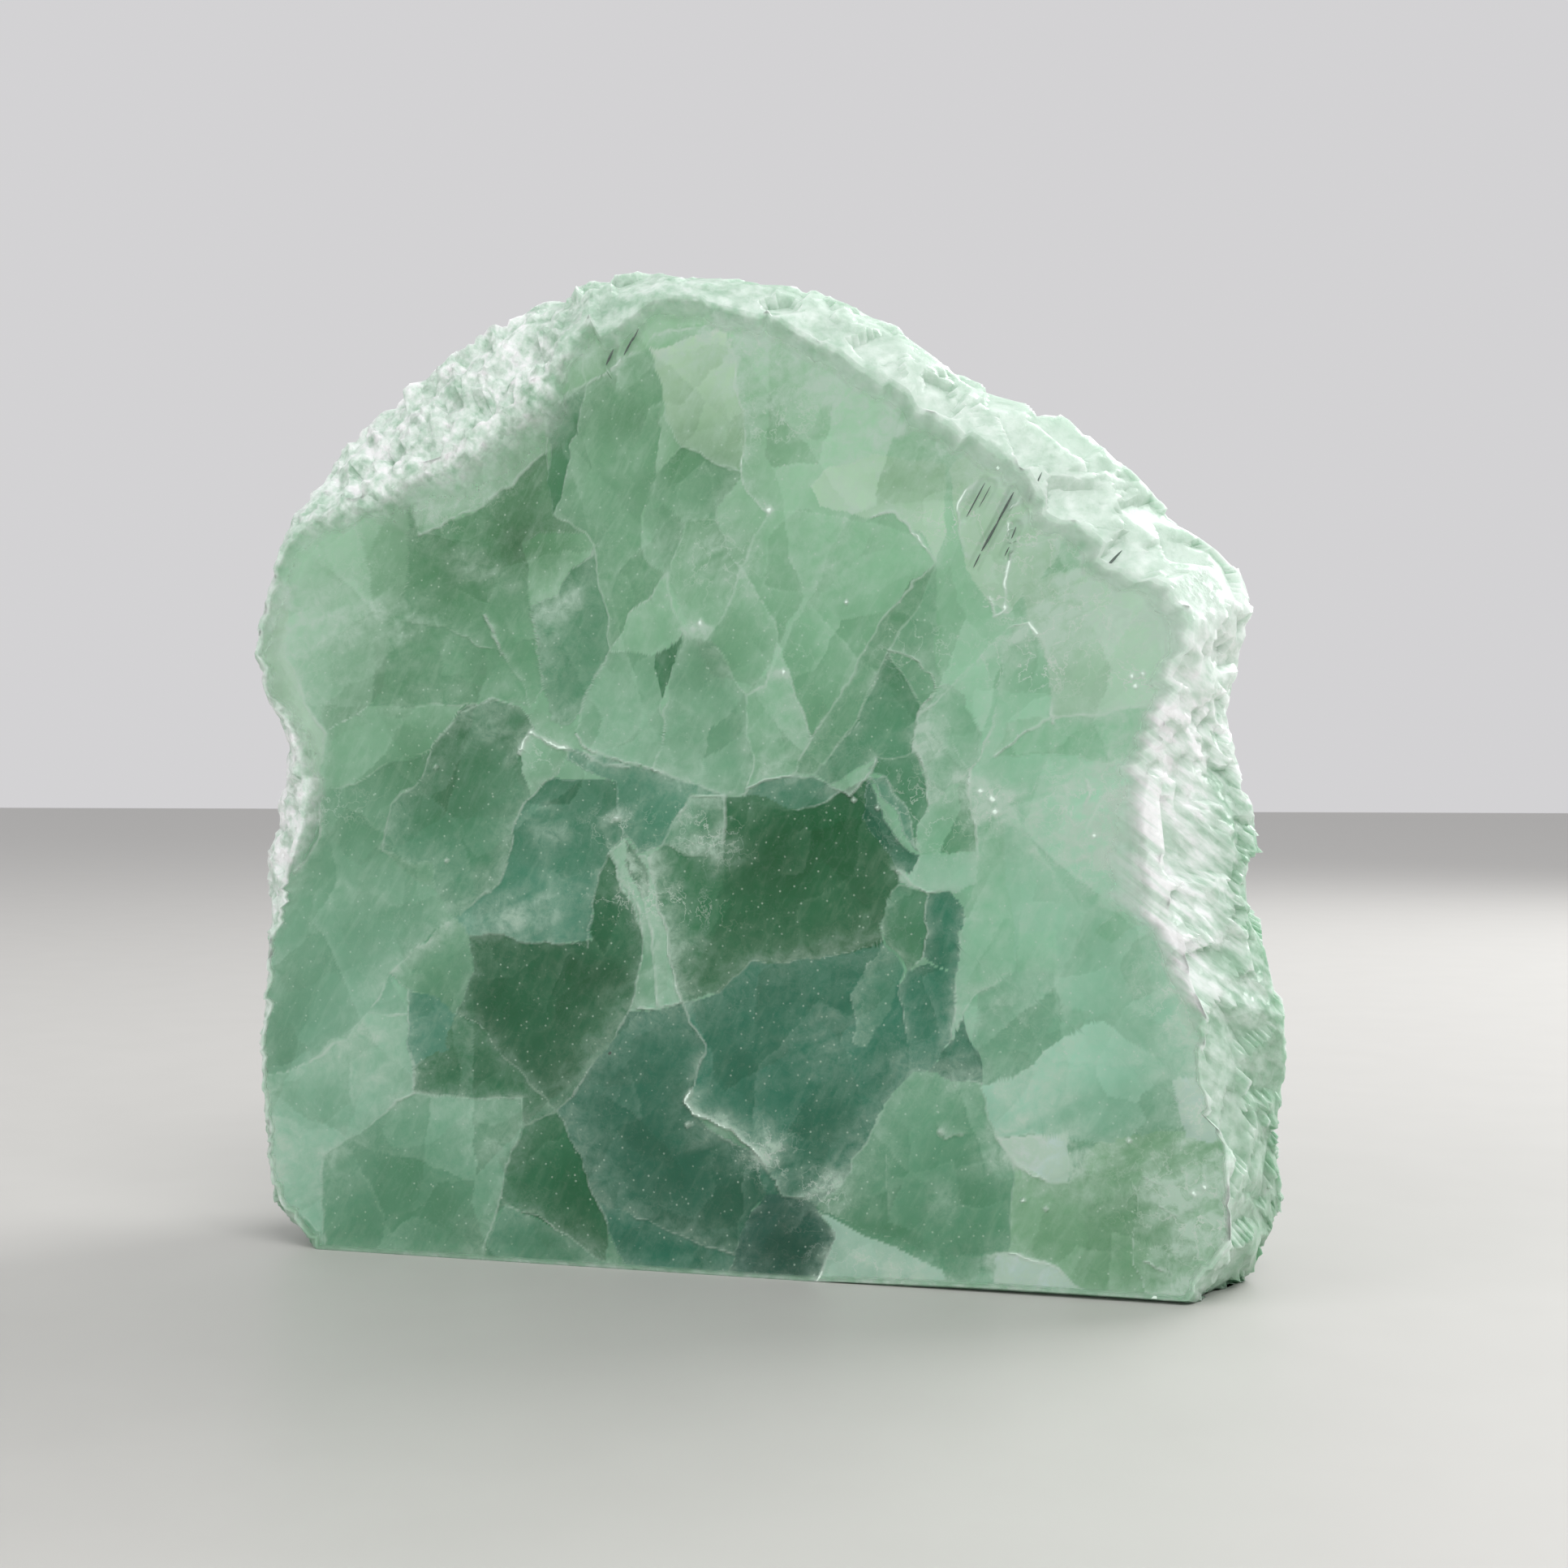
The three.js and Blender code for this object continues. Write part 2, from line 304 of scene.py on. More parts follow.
# %% Blocks that broke away
BLOCK_HEIGHT = 20.0
THIN_BEVEL = 2.0
Broken = namedtuple("Broken", "count round stations width length depth lean seed")
LARGE_BREAKS = [
    Broken(84, (0, 1), (0.1, 1.9), (3, 7), (3, 7), (0.3, 0.9), 0.3, 11),
    Broken(36, (0.6, 0.73), (0.2, 1.9), (3, 8), (3, 8), (0.5, 1.2), 0.3, 85),
    Broken(90, (0, 1), (2.5, 4.6), (6, 15), (6, 15), (0.5, 2.0), 0.2, 31),
    Broken(104, (0, 1), (4.4, 6.95), (7, 20), (7, 20), (0.5, 2.2), 0.14, 47),
    Broken(50, (0.24, 0.35), (0.1, 1.9), (2, 4), (2, 4), (0.5, 1.3), 0.35, 62),
]
SMALL_BREAKS = [
    Broken(900, (0.235, 0.35), (0.02, 2.3), (0.8, 2.4), (0.8, 2.4), (0.08, 0.4), 0.5, 101),
    Broken(420, (0.11, 0.17), (0.02, 2.3), (0.8, 2.2), (0.8, 2.2), (0.08, 0.35), 0.5, 113),
    Broken(500, (0.35, 0.60), (0.05, 2.5), (1.5, 4.0), (2.5, 7.0), (0.03, 0.14), 0.2, 127),
    Broken(800, (0.56, 0.76), (0.4, 3.0), (0.8, 2.4), (3.5, 9.0), (0.04, 0.24), 0.3, 139),
    Broken(300, (0.0, 0.24), (0.05, 2.5), (0.8, 2.5), (0.8, 3.0), (0.05, 0.3), 0.4, 151),
    Broken(1300, (0, 1), (2.3, 4.8), (1.2, 6.0), (1.2, 6.0), (0.1, 0.7), 0.3, 163),
    Broken(700, (0, 1), (4.6, 6.9), (1.5, 7.0), (1.5, 7.0), (0.1, 0.6), 0.2, 179),
]


def chance(number, seed):
    """A repeatable share from 0 to 1: the fraction of a large multiple of a sine."""
    value = math.sin(number * 127.1 + seed * 311.7) * 43758.5453
    return value - math.floor(value)


def unit(vector):
    return vector / np.linalg.norm(vector)


def turned_up(outward, turn):
    """Rows are the block's width, length and height directions in the stone's frame.

    The block is first turned about +Z, then +Z is swung to the outward direction by
    the shortest turn: I + V + V V / (1 + cos), with V the cross-product matrix.
    """
    across = np.cross([0.0, 0.0, 1.0], outward)
    swing = np.array([
        [0.0, -across[2], across[1]],
        [across[2], 0.0, -across[0]],
        [-across[1], across[0], 0.0],
    ])
    swing = np.eye(3) + swing + swing @ swing / (1.0 + outward[2])
    spin = np.array([
        [math.cos(turn), -math.sin(turn), 0.0],
        [math.sin(turn), math.cos(turn), 0.0],
        [0.0, 0.0, 1.0],
    ])
    return (swing @ spin).T


def broken_blocks(breaks, thin_bevel=THIN_BEVEL):
    """A list of (bed, directions, half width, half length) of one set of blocks."""
    blocks = []
    for index in range(breaks.count):
        pick = [chance(index, breaks.seed + part) for part in range(9)]
        share = breaks.round[0] + (breaks.round[1] - breaks.round[0]) * (index + pick[0]) / breaks.count
        station = breaks.stations[0] + (breaks.stations[1] - breaks.stations[0]) * pick[1]
        bed = smooth_stone(share, station)
        if bed[2] <= 0 or (station < WIDEST_STATION and rim_at(share)[2] < thin_bevel):
            continue
        width = breaks.width[0] + (breaks.width[1] - breaks.width[0]) * pick[2]
        length = breaks.length[0] + (breaks.length[1] - breaks.length[0]) * pick[3]
        depth = breaks.depth[0] + (breaks.depth[1] - breaks.depth[0]) * pick[4]
        step = 0.005
        round_way = smooth_stone(share + step, station) - bed
        back_way = smooth_stone(share, station + step) - bed
        lean = (np.array(pick[5:8]) - 0.5) * 2 * breaks.lean
        outward = unit(unit(np.cross(round_way, back_way)) + lean)
        blocks.append((bed - outward * depth, turned_up(outward, pick[8] * math.pi),
                       width / 2, length / 2))
    return blocks


large_blocks = [block for breaks in LARGE_BREAKS for block in broken_blocks(breaks)]
small_blocks = [block for breaks in SMALL_BREAKS for block in broken_blocks(breaks, 0.0)]
print(len(large_blocks), "large blocks and", len(small_blocks), "small ones have broken away")

# %% [markdown]
# A block takes away the part of each ray that lies inside it. The ray starts in the
# middle of the stone, so a surface point inside a block drops back along its ray to
# where the ray enters, which leaves flat beds and crisp steps. On the polished face
# the rays stay in the face's plane, so the face stays flat and only its edge chips.

# %% Carve the rings of the skin
AROUND = 720
# The lap stopped a hair behind the solid's face, so the proud fractures reach the plane.
LAPPED_Y = POLISHED_FACE_Y + 0.03
FRONT_RINGS = np.linspace(0.0, 2.0, 22)
FLANK_RINGS = np.linspace(2.0, 4.0, 64)[1:]
SHOULDER_RINGS = np.linspace(4.0, 5.0, 22)[1:]
BACK_RINGS = np.linspace(5.0, 6.0, 26)[1:]
CENTRE_RINGS = np.linspace(6.0, 6.9, 22)[1:]


def ray_centre(station):
    """The heart of the stone, slid forward to the face's plane as the station nears 0."""
    forward = np.clip(1.0 - np.asarray(station) / WIDEST_STATION, 0.0, 1.0)
    return HEART + forward[..., None] * np.array([0.0, POLISHED_FACE_Y, 0.0])


def carve(points, centres, blocks, beds, passes=2):
    """Moves each point inside a block back to where its ray enters the block.

    In the block's own frame the ray is o + t d, with the point at t = 1. The block
    holds it from the largest of the near slab crossings to the smallest far one.
    """
    for _ in range(passes):
        for number, (bed, directions, half_width, half_length) in enumerate(blocks):
            radius = math.hypot(half_width, half_length) + 3.0
            near = np.flatnonzero(((points - bed) ** 2).sum(axis=1) < radius ** 2)
            if not len(near):
                continue
            origin = (centres[near] - bed) @ directions.T
            way = (points[near] - bed) @ directions.T - origin
            way = np.where(np.abs(way) < 1e-9, 1e-9, way)
            low = np.array([-half_width, -half_length, 0.0])
            high = np.array([half_width, half_length, BLOCK_HEIGHT])
            first, second = (low - origin) / way, (high - origin) / way
            enters = np.minimum(first, second).max(axis=1)
            leaves = np.maximum(first, second).min(axis=1)
            inside = (enters < 1.0) & (leaves >= 1.0) & (enters > 0.5)
            hit = near[inside]
            points[hit] = centres[hit] + (points[hit] - centres[hit]) * enters[inside, None]
            beds[hit] = number + 1
    return points


ring_stations = np.concatenate([FRONT_RINGS, FLANK_RINGS, SHOULDER_RINGS, BACK_RINGS, CENTRE_RINGS])
ring_counts = np.where(ring_stations <= 4.7, AROUND, AROUND // 2)
ring_counts = np.where(ring_stations > 6.0, AROUND // 4, ring_counts)
ring_counts = np.where(ring_stations > 6.6, AROUND // 8, ring_counts)
shares = np.concatenate([np.arange(count) / count for count in ring_counts])
stations = np.repeat(ring_stations, ring_counts)
skin_points = smooth_stone(shares, stations)
beds = np.zeros(len(skin_points))
skin_points = carve(skin_points, ray_centre(stations), large_blocks, beds)
skin_points = carve(skin_points, ray_centre(stations), small_blocks, beds, passes=1)
skin_points[:, 1] = np.maximum(skin_points[:, 1], LAPPED_Y)
skin_points[:, 2] = np.maximum(skin_points[:, 2], 0.0)
print(len(skin_points), "points on", len(ring_stations), "rings")

# %% [markdown]
# The rings are joined by bands of faces. Where the stone narrows, a ring has half the
# points of the one before, so the faces keep their size. The face and the last small
# ring on the back are closed by rings that shrink to their middle.

# %% Join the rings into one closed skin
# Scale of each ring inside the face's edge, and its number of points.
FACE_RINGS = [(0.985, AROUND), (0.93, AROUND // 2), (0.8, AROUND // 4), (0.5, AROUND // 8),
              (0.2, AROUND // 16)]


def band(outer, inner):
    """Triangles between two rings of point numbers, inner having as many or half."""
    after = np.roll(outer, -1)
    if len(outer) == len(inner):
        inner_after = np.roll(inner, -1)
        return np.concatenate([
            np.stack([outer, after, inner_after], axis=1),
            np.stack([outer, inner_after, inner], axis=1),
        ])
    first, middle, last = outer[0::2], outer[1::2], np.roll(outer, -2)[0::2]
    inner_after = np.roll(inner, -1)
    return np.concatenate([
        np.stack([first, middle, inner], axis=1),
        np.stack([middle, inner_after, inner], axis=1),
        np.stack([middle, last, inner_after], axis=1),
    ])


starts = np.concatenate([[0], np.cumsum(ring_counts)])
rings = [np.arange(starts[i], starts[i + 1]) for i in range(len(ring_counts))]
triangles = [band(rings[i], rings[i + 1]) for i in range(len(rings) - 1)]
face_edge = skin_points[rings[0]].copy()
face_middle = np.array([HEART[0], LAPPED_Y, HEART[2]])
face_rings = [rings[0]]
extra = []
for scale, count in FACE_RINGS:
    start = len(skin_points) + sum(len(points) for points in extra)
    extra.append(face_middle + (face_edge[::AROUND // count] - face_middle) * scale)
    face_rings.append(np.arange(start, start + count))
triangles += [band(face_rings[i], face_rings[i + 1])[:, ::-1] for i in range(len(FACE_RINGS))]
on_face = np.zeros(sum(len(points) for points in extra))
face_shares = np.concatenate([np.arange(count) / count for scale, count in FACE_RINGS])
skin_points = np.vstack([skin_points, *extra])
skin_stations = np.concatenate([stations, on_face])
skin_shares = np.concatenate([shares, face_shares])
skin_beds = np.concatenate([beds, on_face])
caps = [face_rings[-1][::-1].tolist(), rings[-1].tolist()]


def mesh_piece(name, points, faces, smooth_angle=None):
    """A mesh object from points in millimetres, with shading kept sharp past an angle."""
    mesh = bpy.data.meshes.new(name)
    mesh.from_pydata((np.asarray(points) * MM).tolist(), [], faces)
    mesh.validate()
    if smooth_angle is not None:
        mesh.shade_smooth()
        mesh.set_sharp_from_angle(angle=math.radians(smooth_angle))
    piece = bpy.data.objects.new(name, mesh)
    bpy.context.scene.collection.objects.link(piece)
    return piece


def store(piece, name, values):
    """Keeps one number or one colour for each point of a mesh."""
    values = np.asarray(values, np.float32)
    kind, field = ("FLOAT", "value") if values.ndim == 1 else ("FLOAT_COLOR", "color")
    attribute = piece.data.attributes.new(name, kind, "POINT")
    attribute.data.foreach_set(field, values.ravel())


skin_faces = np.concatenate(triangles).tolist() + caps
skin = mesh_piece("fluorite_skin", skin_points, skin_faces, smooth_angle=28)
corners = skin_points[np.concatenate(triangles)]
volume = np.einsum("ij,ij->", corners[:, 0], np.cross(corners[:, 1], corners[:, 2])) / 6000
print("skin:", len(skin.data.polygons), "faces round", round(float(volume), 1), "cubic centimetres")

# %% [markdown]
# ## How white the break is
# A fresh cleavage is glassy, but crushed and hackled breaks scatter the light and
# look white. The amount follows the rim by listed stops, and each bed differs.

# %% Whiteness of the raw surface
# Share of the way round the rim, whiteness at the face's edge, at the widest line and
# on the flank, then how gritty, how streaked and how milky the break is, from 0 to 1.
# The milky column is also painted shade, lowest on the top right, where it dims the bevel.
WHITENESS = np.array([
    [0.00, 0.15, 0.4, 0.3, 0.4, 0.2, 0.0], [0.04, 0.4, 0.4, 0.3, 0.4, 0.2, 0.6],
    [0.10, 0.5, 0.45, 0.3, 0.5, 0.2, 0.8],
    [0.125, 0.8, 0.8, 0.4, 0.8, 0.2, 1.0], [0.165, 0.7, 0.8, 0.4, 0.8, 0.2, 1.0],
    [0.19, 0.5, 0.5, 0.3, 0.5, 0.2, 0.9], [0.23, 0.5, 0.6, 0.4, 0.7, 0.2, 0.9],
    [0.25, 0.7, 0.75, 0.5, 1.0, 0.3, 1.0], [0.32, 0.65, 0.75, 0.5, 1.0, 0.3, 1.0],
    [0.345, 0.4, 0.5, 0.4, 0.6, 0.2, 0.7], [0.39, 0.5, 0.7, 0.4, 0.4, 0.2, 0.55],
    [0.43, 0.5, 1.0, 0.5, 0.15, 0.1, 0.46], [0.53, 0.5, 1.0, 0.5, 0.1, 0.1, 0.46],
    [0.56, 0.7, 0.95, 0.3, 0.3, 0.5, 0.8], [0.59, 0.9, 0.7, 0.3, 0.5, 1.0, 1.0],
    [0.62, 1.0, 0.3, 0.2, 0.6, 1.0, 0.9], [0.66, 1.0, 0.25, 0.2, 0.7, 1.0, 0.9],
    [0.675, 0.4, 0.25, 0.2, 0.5, 0.7, 0.7], [0.715, 0.5, 0.3, 0.3, 0.4, 0.2, 0.6],
    [0.735, 0.5, 0.1, 0.2, 0.4, 0.2, 0.0], [0.75, 0.25, 0.3, 0.3, 0.4, 0.2, 0.1],
    [1.00, 0.15, 0.4, 0.3, 0.4, 0.2, 0.0],
])
BED_VARIETY = 0.16
# Share of the way round the rim, and how far in from the edge the polish has worn, mm.
EDGE_WEAR = np.array([
    [0.00, 0.6], [0.12, 0.8], [0.15, 2.4], [0.18, 1.0], [0.23, 1.4], [0.25, 4.5], [0.32, 5.0],
    [0.34, 1.6], [0.40, 1.3], [0.44, 1.6], [0.54, 1.6], [0.58, 2.4], [0.61, 3.4],
    [0.645, 4.6], [0.665, 1.8], [0.68, 0.8], [0.72, 0.7], [1.00, 0.6],
])

worn = np.interp(skin_shares, EDGE_WEAR[:, 0], EDGE_WEAR[:, 1])
near_edge = np.ones(len(skin_points))
for ring, (scale, count) in zip(face_rings[1:], FACE_RINGS):
    from_edge = np.linalg.norm(face_edge[::AROUND // count] - skin_points[ring], axis=1)
    near_edge[ring] = np.clip(1 - from_edge / worn[ring], 0, 1)
store(skin, "near_edge", near_edge)
at_edge, at_widest, on_flank, gritty, streaky, bevel_milk_and_shade = (
    np.interp(skin_shares, WHITENESS[:, 0], column) for column in WHITENESS.T[1:])
bevel_mix = np.clip(skin_stations / 1.8, 0, 1)
flank_mix = np.clip((skin_stations - 2.0) / 1.0, 0, 1)
bed_tone = np.modf(np.abs(np.sin(skin_beds * 12.9898)) * 43758.5453)[0] - 0.5
whiteness = at_edge + (at_widest - at_edge) * bevel_mix
whiteness += (on_flank - whiteness) * flank_mix + BED_VARIETY * bed_tone
for name_kept, values in (
    ("whiteness", np.clip(whiteness, 0, 1)), ("grit", gritty), ("streaked", streaky),
    ("milk_and_shade", 1 - (1 - bevel_milk_and_shade) * bevel_mix * (1 - 0.5 * flank_mix)),
):
    store(skin, name_kept, values)
print("mean whiteness of the raw surface:", round(float(whiteness.mean()), 2))

# %% [markdown]
# ## The skin's material
# Fluorite has a low refractive index, 1.434, and this piece is a soft green that
# deepens with thickness, so the colour is in the absorption of its inside, not on
# the surface. The lapped face is polished clear. The raw breaks are frosted: part of
# the light scatters white on them and the rest enters blurred.

# %% Fluorite, lapped in front and cleaved elsewhere
FLUORITE_IOR = 1.434
GREEN_OF_THE_INSIDE = "#86C79B"
ABSORPTION_PER_METRE = 55.0
# Sizes in millimetres, then the dip of the fibres in degrees and how far a facet leans.
SUGAR_GRAIN = 0.4
FACET = 1.3
CHIP = 1.6
HACKLE = 1.7
FIBRE_SIZE = (9.0, 2.0, 0.9)
LIGHT_REACH = 1.4
FIBRE_DIP = 38.0
GLINT_TILT = 0.6


def per_metre(size_mm):
    """A texture scale whose repeat is about this many millimetres."""
    return 1.0 / (size_mm * MM)


fluorite, output = new_material("fluorite_lapped_and_cleaved")
place = add_node(fluorite, "ShaderNodeTexCoord").outputs["Object"]
y_of_point = add_node(fluorite, "ShaderNodeSeparateXYZ", {0: place}).outputs["Y"]
behind_lap = ramped(fluorite, y_of_point, (LAPPED_Y + 0.004) * MM, (LAPPED_Y + 0.05) * MM)
near_rim = kept(fluorite, "near_edge")
grit = kept(fluorite, "grit")
chips = noise(fluorite, place, per_metre(CHIP), 1.0, 0.6)
chip_reach = computed(fluorite, "MULTIPLY_ADD", near_rim, chips, 0.5)
chip_reach = computed(fluorite, "MULTIPLY", near_rim, chip_reach)
raw = computed(fluorite, "MAXIMUM", behind_lap, ramped(fluorite, chip_reach, 0.06, 0.62))
# Lapped with fine grit, then polished with oxide until it was clear.
lapped = add_node(fluorite, "ShaderNodeBsdfPrincipled", {
    "Base Color": rgba("#FFFFFF"),
    "IOR": FLUORITE_IOR,
    "Transmission Weight": 1.0,
    "Roughness": 0.03,
})

# %% [markdown]
# The raw break is patchy: a noise whitens and clears it, drawn out into fibres where
# the crystal split along its length. The frost it makes turns the green to white.

# %% How frosted the raw break is
hackle = noise(fluorite, place, per_metre(HACKLE), 4.0, 0.66)
fibre_way = add_node(fluorite, "ShaderNodeMapping", {
    "Vector": place,
    "Rotation": (0.0, math.radians(FIBRE_DIP), 0.0),
    "Scale": tuple(size * MM for size in FIBRE_SIZE),
}, vector_type="TEXTURE").outputs[0]
fibres = noise(fluorite, fibre_way, 1.0, 3.0, 0.6)
broken_look = add_node(fluorite, "ShaderNodeMix", {
    0: kept(fluorite, "streaked"), 2: hackle, 3: fibres}, data_type="FLOAT").outputs[0]
patchy = ramped(fluorite, broken_look, 0.36, 0.64, -0.5, 0.4)
patchiness = computed(fluorite, "MULTIPLY_ADD", grit, 0.7, 0.3)
frost = computed(fluorite, "MULTIPLY_ADD", patchy, patchiness, kept(fluorite, "whiteness"), clamp=True)
frosted = mixed(fluorite, frost, "#A6CFB2", "#F6FBF8")
# Painted shade as well as milk: less milky bevels turn greener and darker, most on the top right.
milk_and_shade_tint = mixed(fluorite, kept(fluorite, "milk_and_shade"), "#94BEA0", "#FFFFFF")
break_colour = combined(fluorite, "MULTIPLY", frosted, milk_and_shade_tint)
clearness = ramped(fluorite, frost, 0.0, 1.0, 0.25, 0.0)

# %% [markdown]
# Each sugary grain is a small cleavage face with its own tilt, so single grains glint.

# %% Tilted grains, and the two finishes on one skin
bumped = add_node(fluorite, "ShaderNodeBump", {
    "Strength": 0.5, "Distance": 0.3 * MM, "Height": broken_look}).outputs[0]
sugar, facet = (add_node(fluorite, "ShaderNodeTexVoronoi", {
    "Scale": per_metre(size), "Vector": place}).outputs["Color"] for size in (SUGAR_GRAIN, FACET))
both_tilts = combined(fluorite, "ADD", sugar, facet)
centred = combined(fluorite, "SUBTRACT", both_tilts, (1.0, 1.0, 1.0))
tilted = add_node(fluorite, "ShaderNodeVectorMath", {
    0: centred, "Scale": computed(fluorite, "MULTIPLY", grit, GLINT_TILT)}, operation="SCALE").outputs[0]
raw_bump = combined(fluorite, "NORMALIZE", combined(fluorite, "ADD", bumped, tilted))
# Broken, never worked: light enters it and comes out again a little further on.
cleaved = add_node(fluorite, "ShaderNodeBsdfPrincipled", {
    "IOR": FLUORITE_IOR,
    "Roughness": 0.3,
    "Subsurface Weight": 0.8,
    "Subsurface Radius": (LIGHT_REACH * MM,) * 3,
    "Subsurface Scale": 1.0,
    "Base Color": break_colour,
    "Transmission Weight": clearness,
    "Normal": raw_bump,
})
crystal = add_node(fluorite, "ShaderNodeMixShader", {
    0: raw, 1: lapped.outputs[0], 2: cleaved.outputs[0]})
inside = add_node(fluorite, "ShaderNodeVolumeAbsorption", {
    "Color": rgba(GREEN_OF_THE_INSIDE),
    "Density": ABSORPTION_PER_METRE,
})
fluorite.node_tree.links.new(crystal.outputs[0], output.inputs["Surface"])
fluorite.node_tree.links.new(inside.outputs[0], output.inputs["Volume"])
skin.data.materials.append(fluorite)
print("the skin's material has", len(fluorite.node_tree.nodes), "nodes")

# %% [markdown]
# ## Grains and healed fractures
# Long before it was found, the stone cracked and healed again many times. Each crack
# stayed as a veil, and the veils part the inside into grains, some clear and dark,
# some milky. Just behind the face they are one relief: every grain is a tilted floor
# at its own depth, and along its edges the veils rise towards the face and fade.
# A grain is an outline on the face, a tone, the side on which its veil is bright
# (direction in degrees, width in mm, strength), and the way in which it darkens.

# %% The grains behind the polished face
Grain = namedtuple("Grain", "name tone veil fade outline")
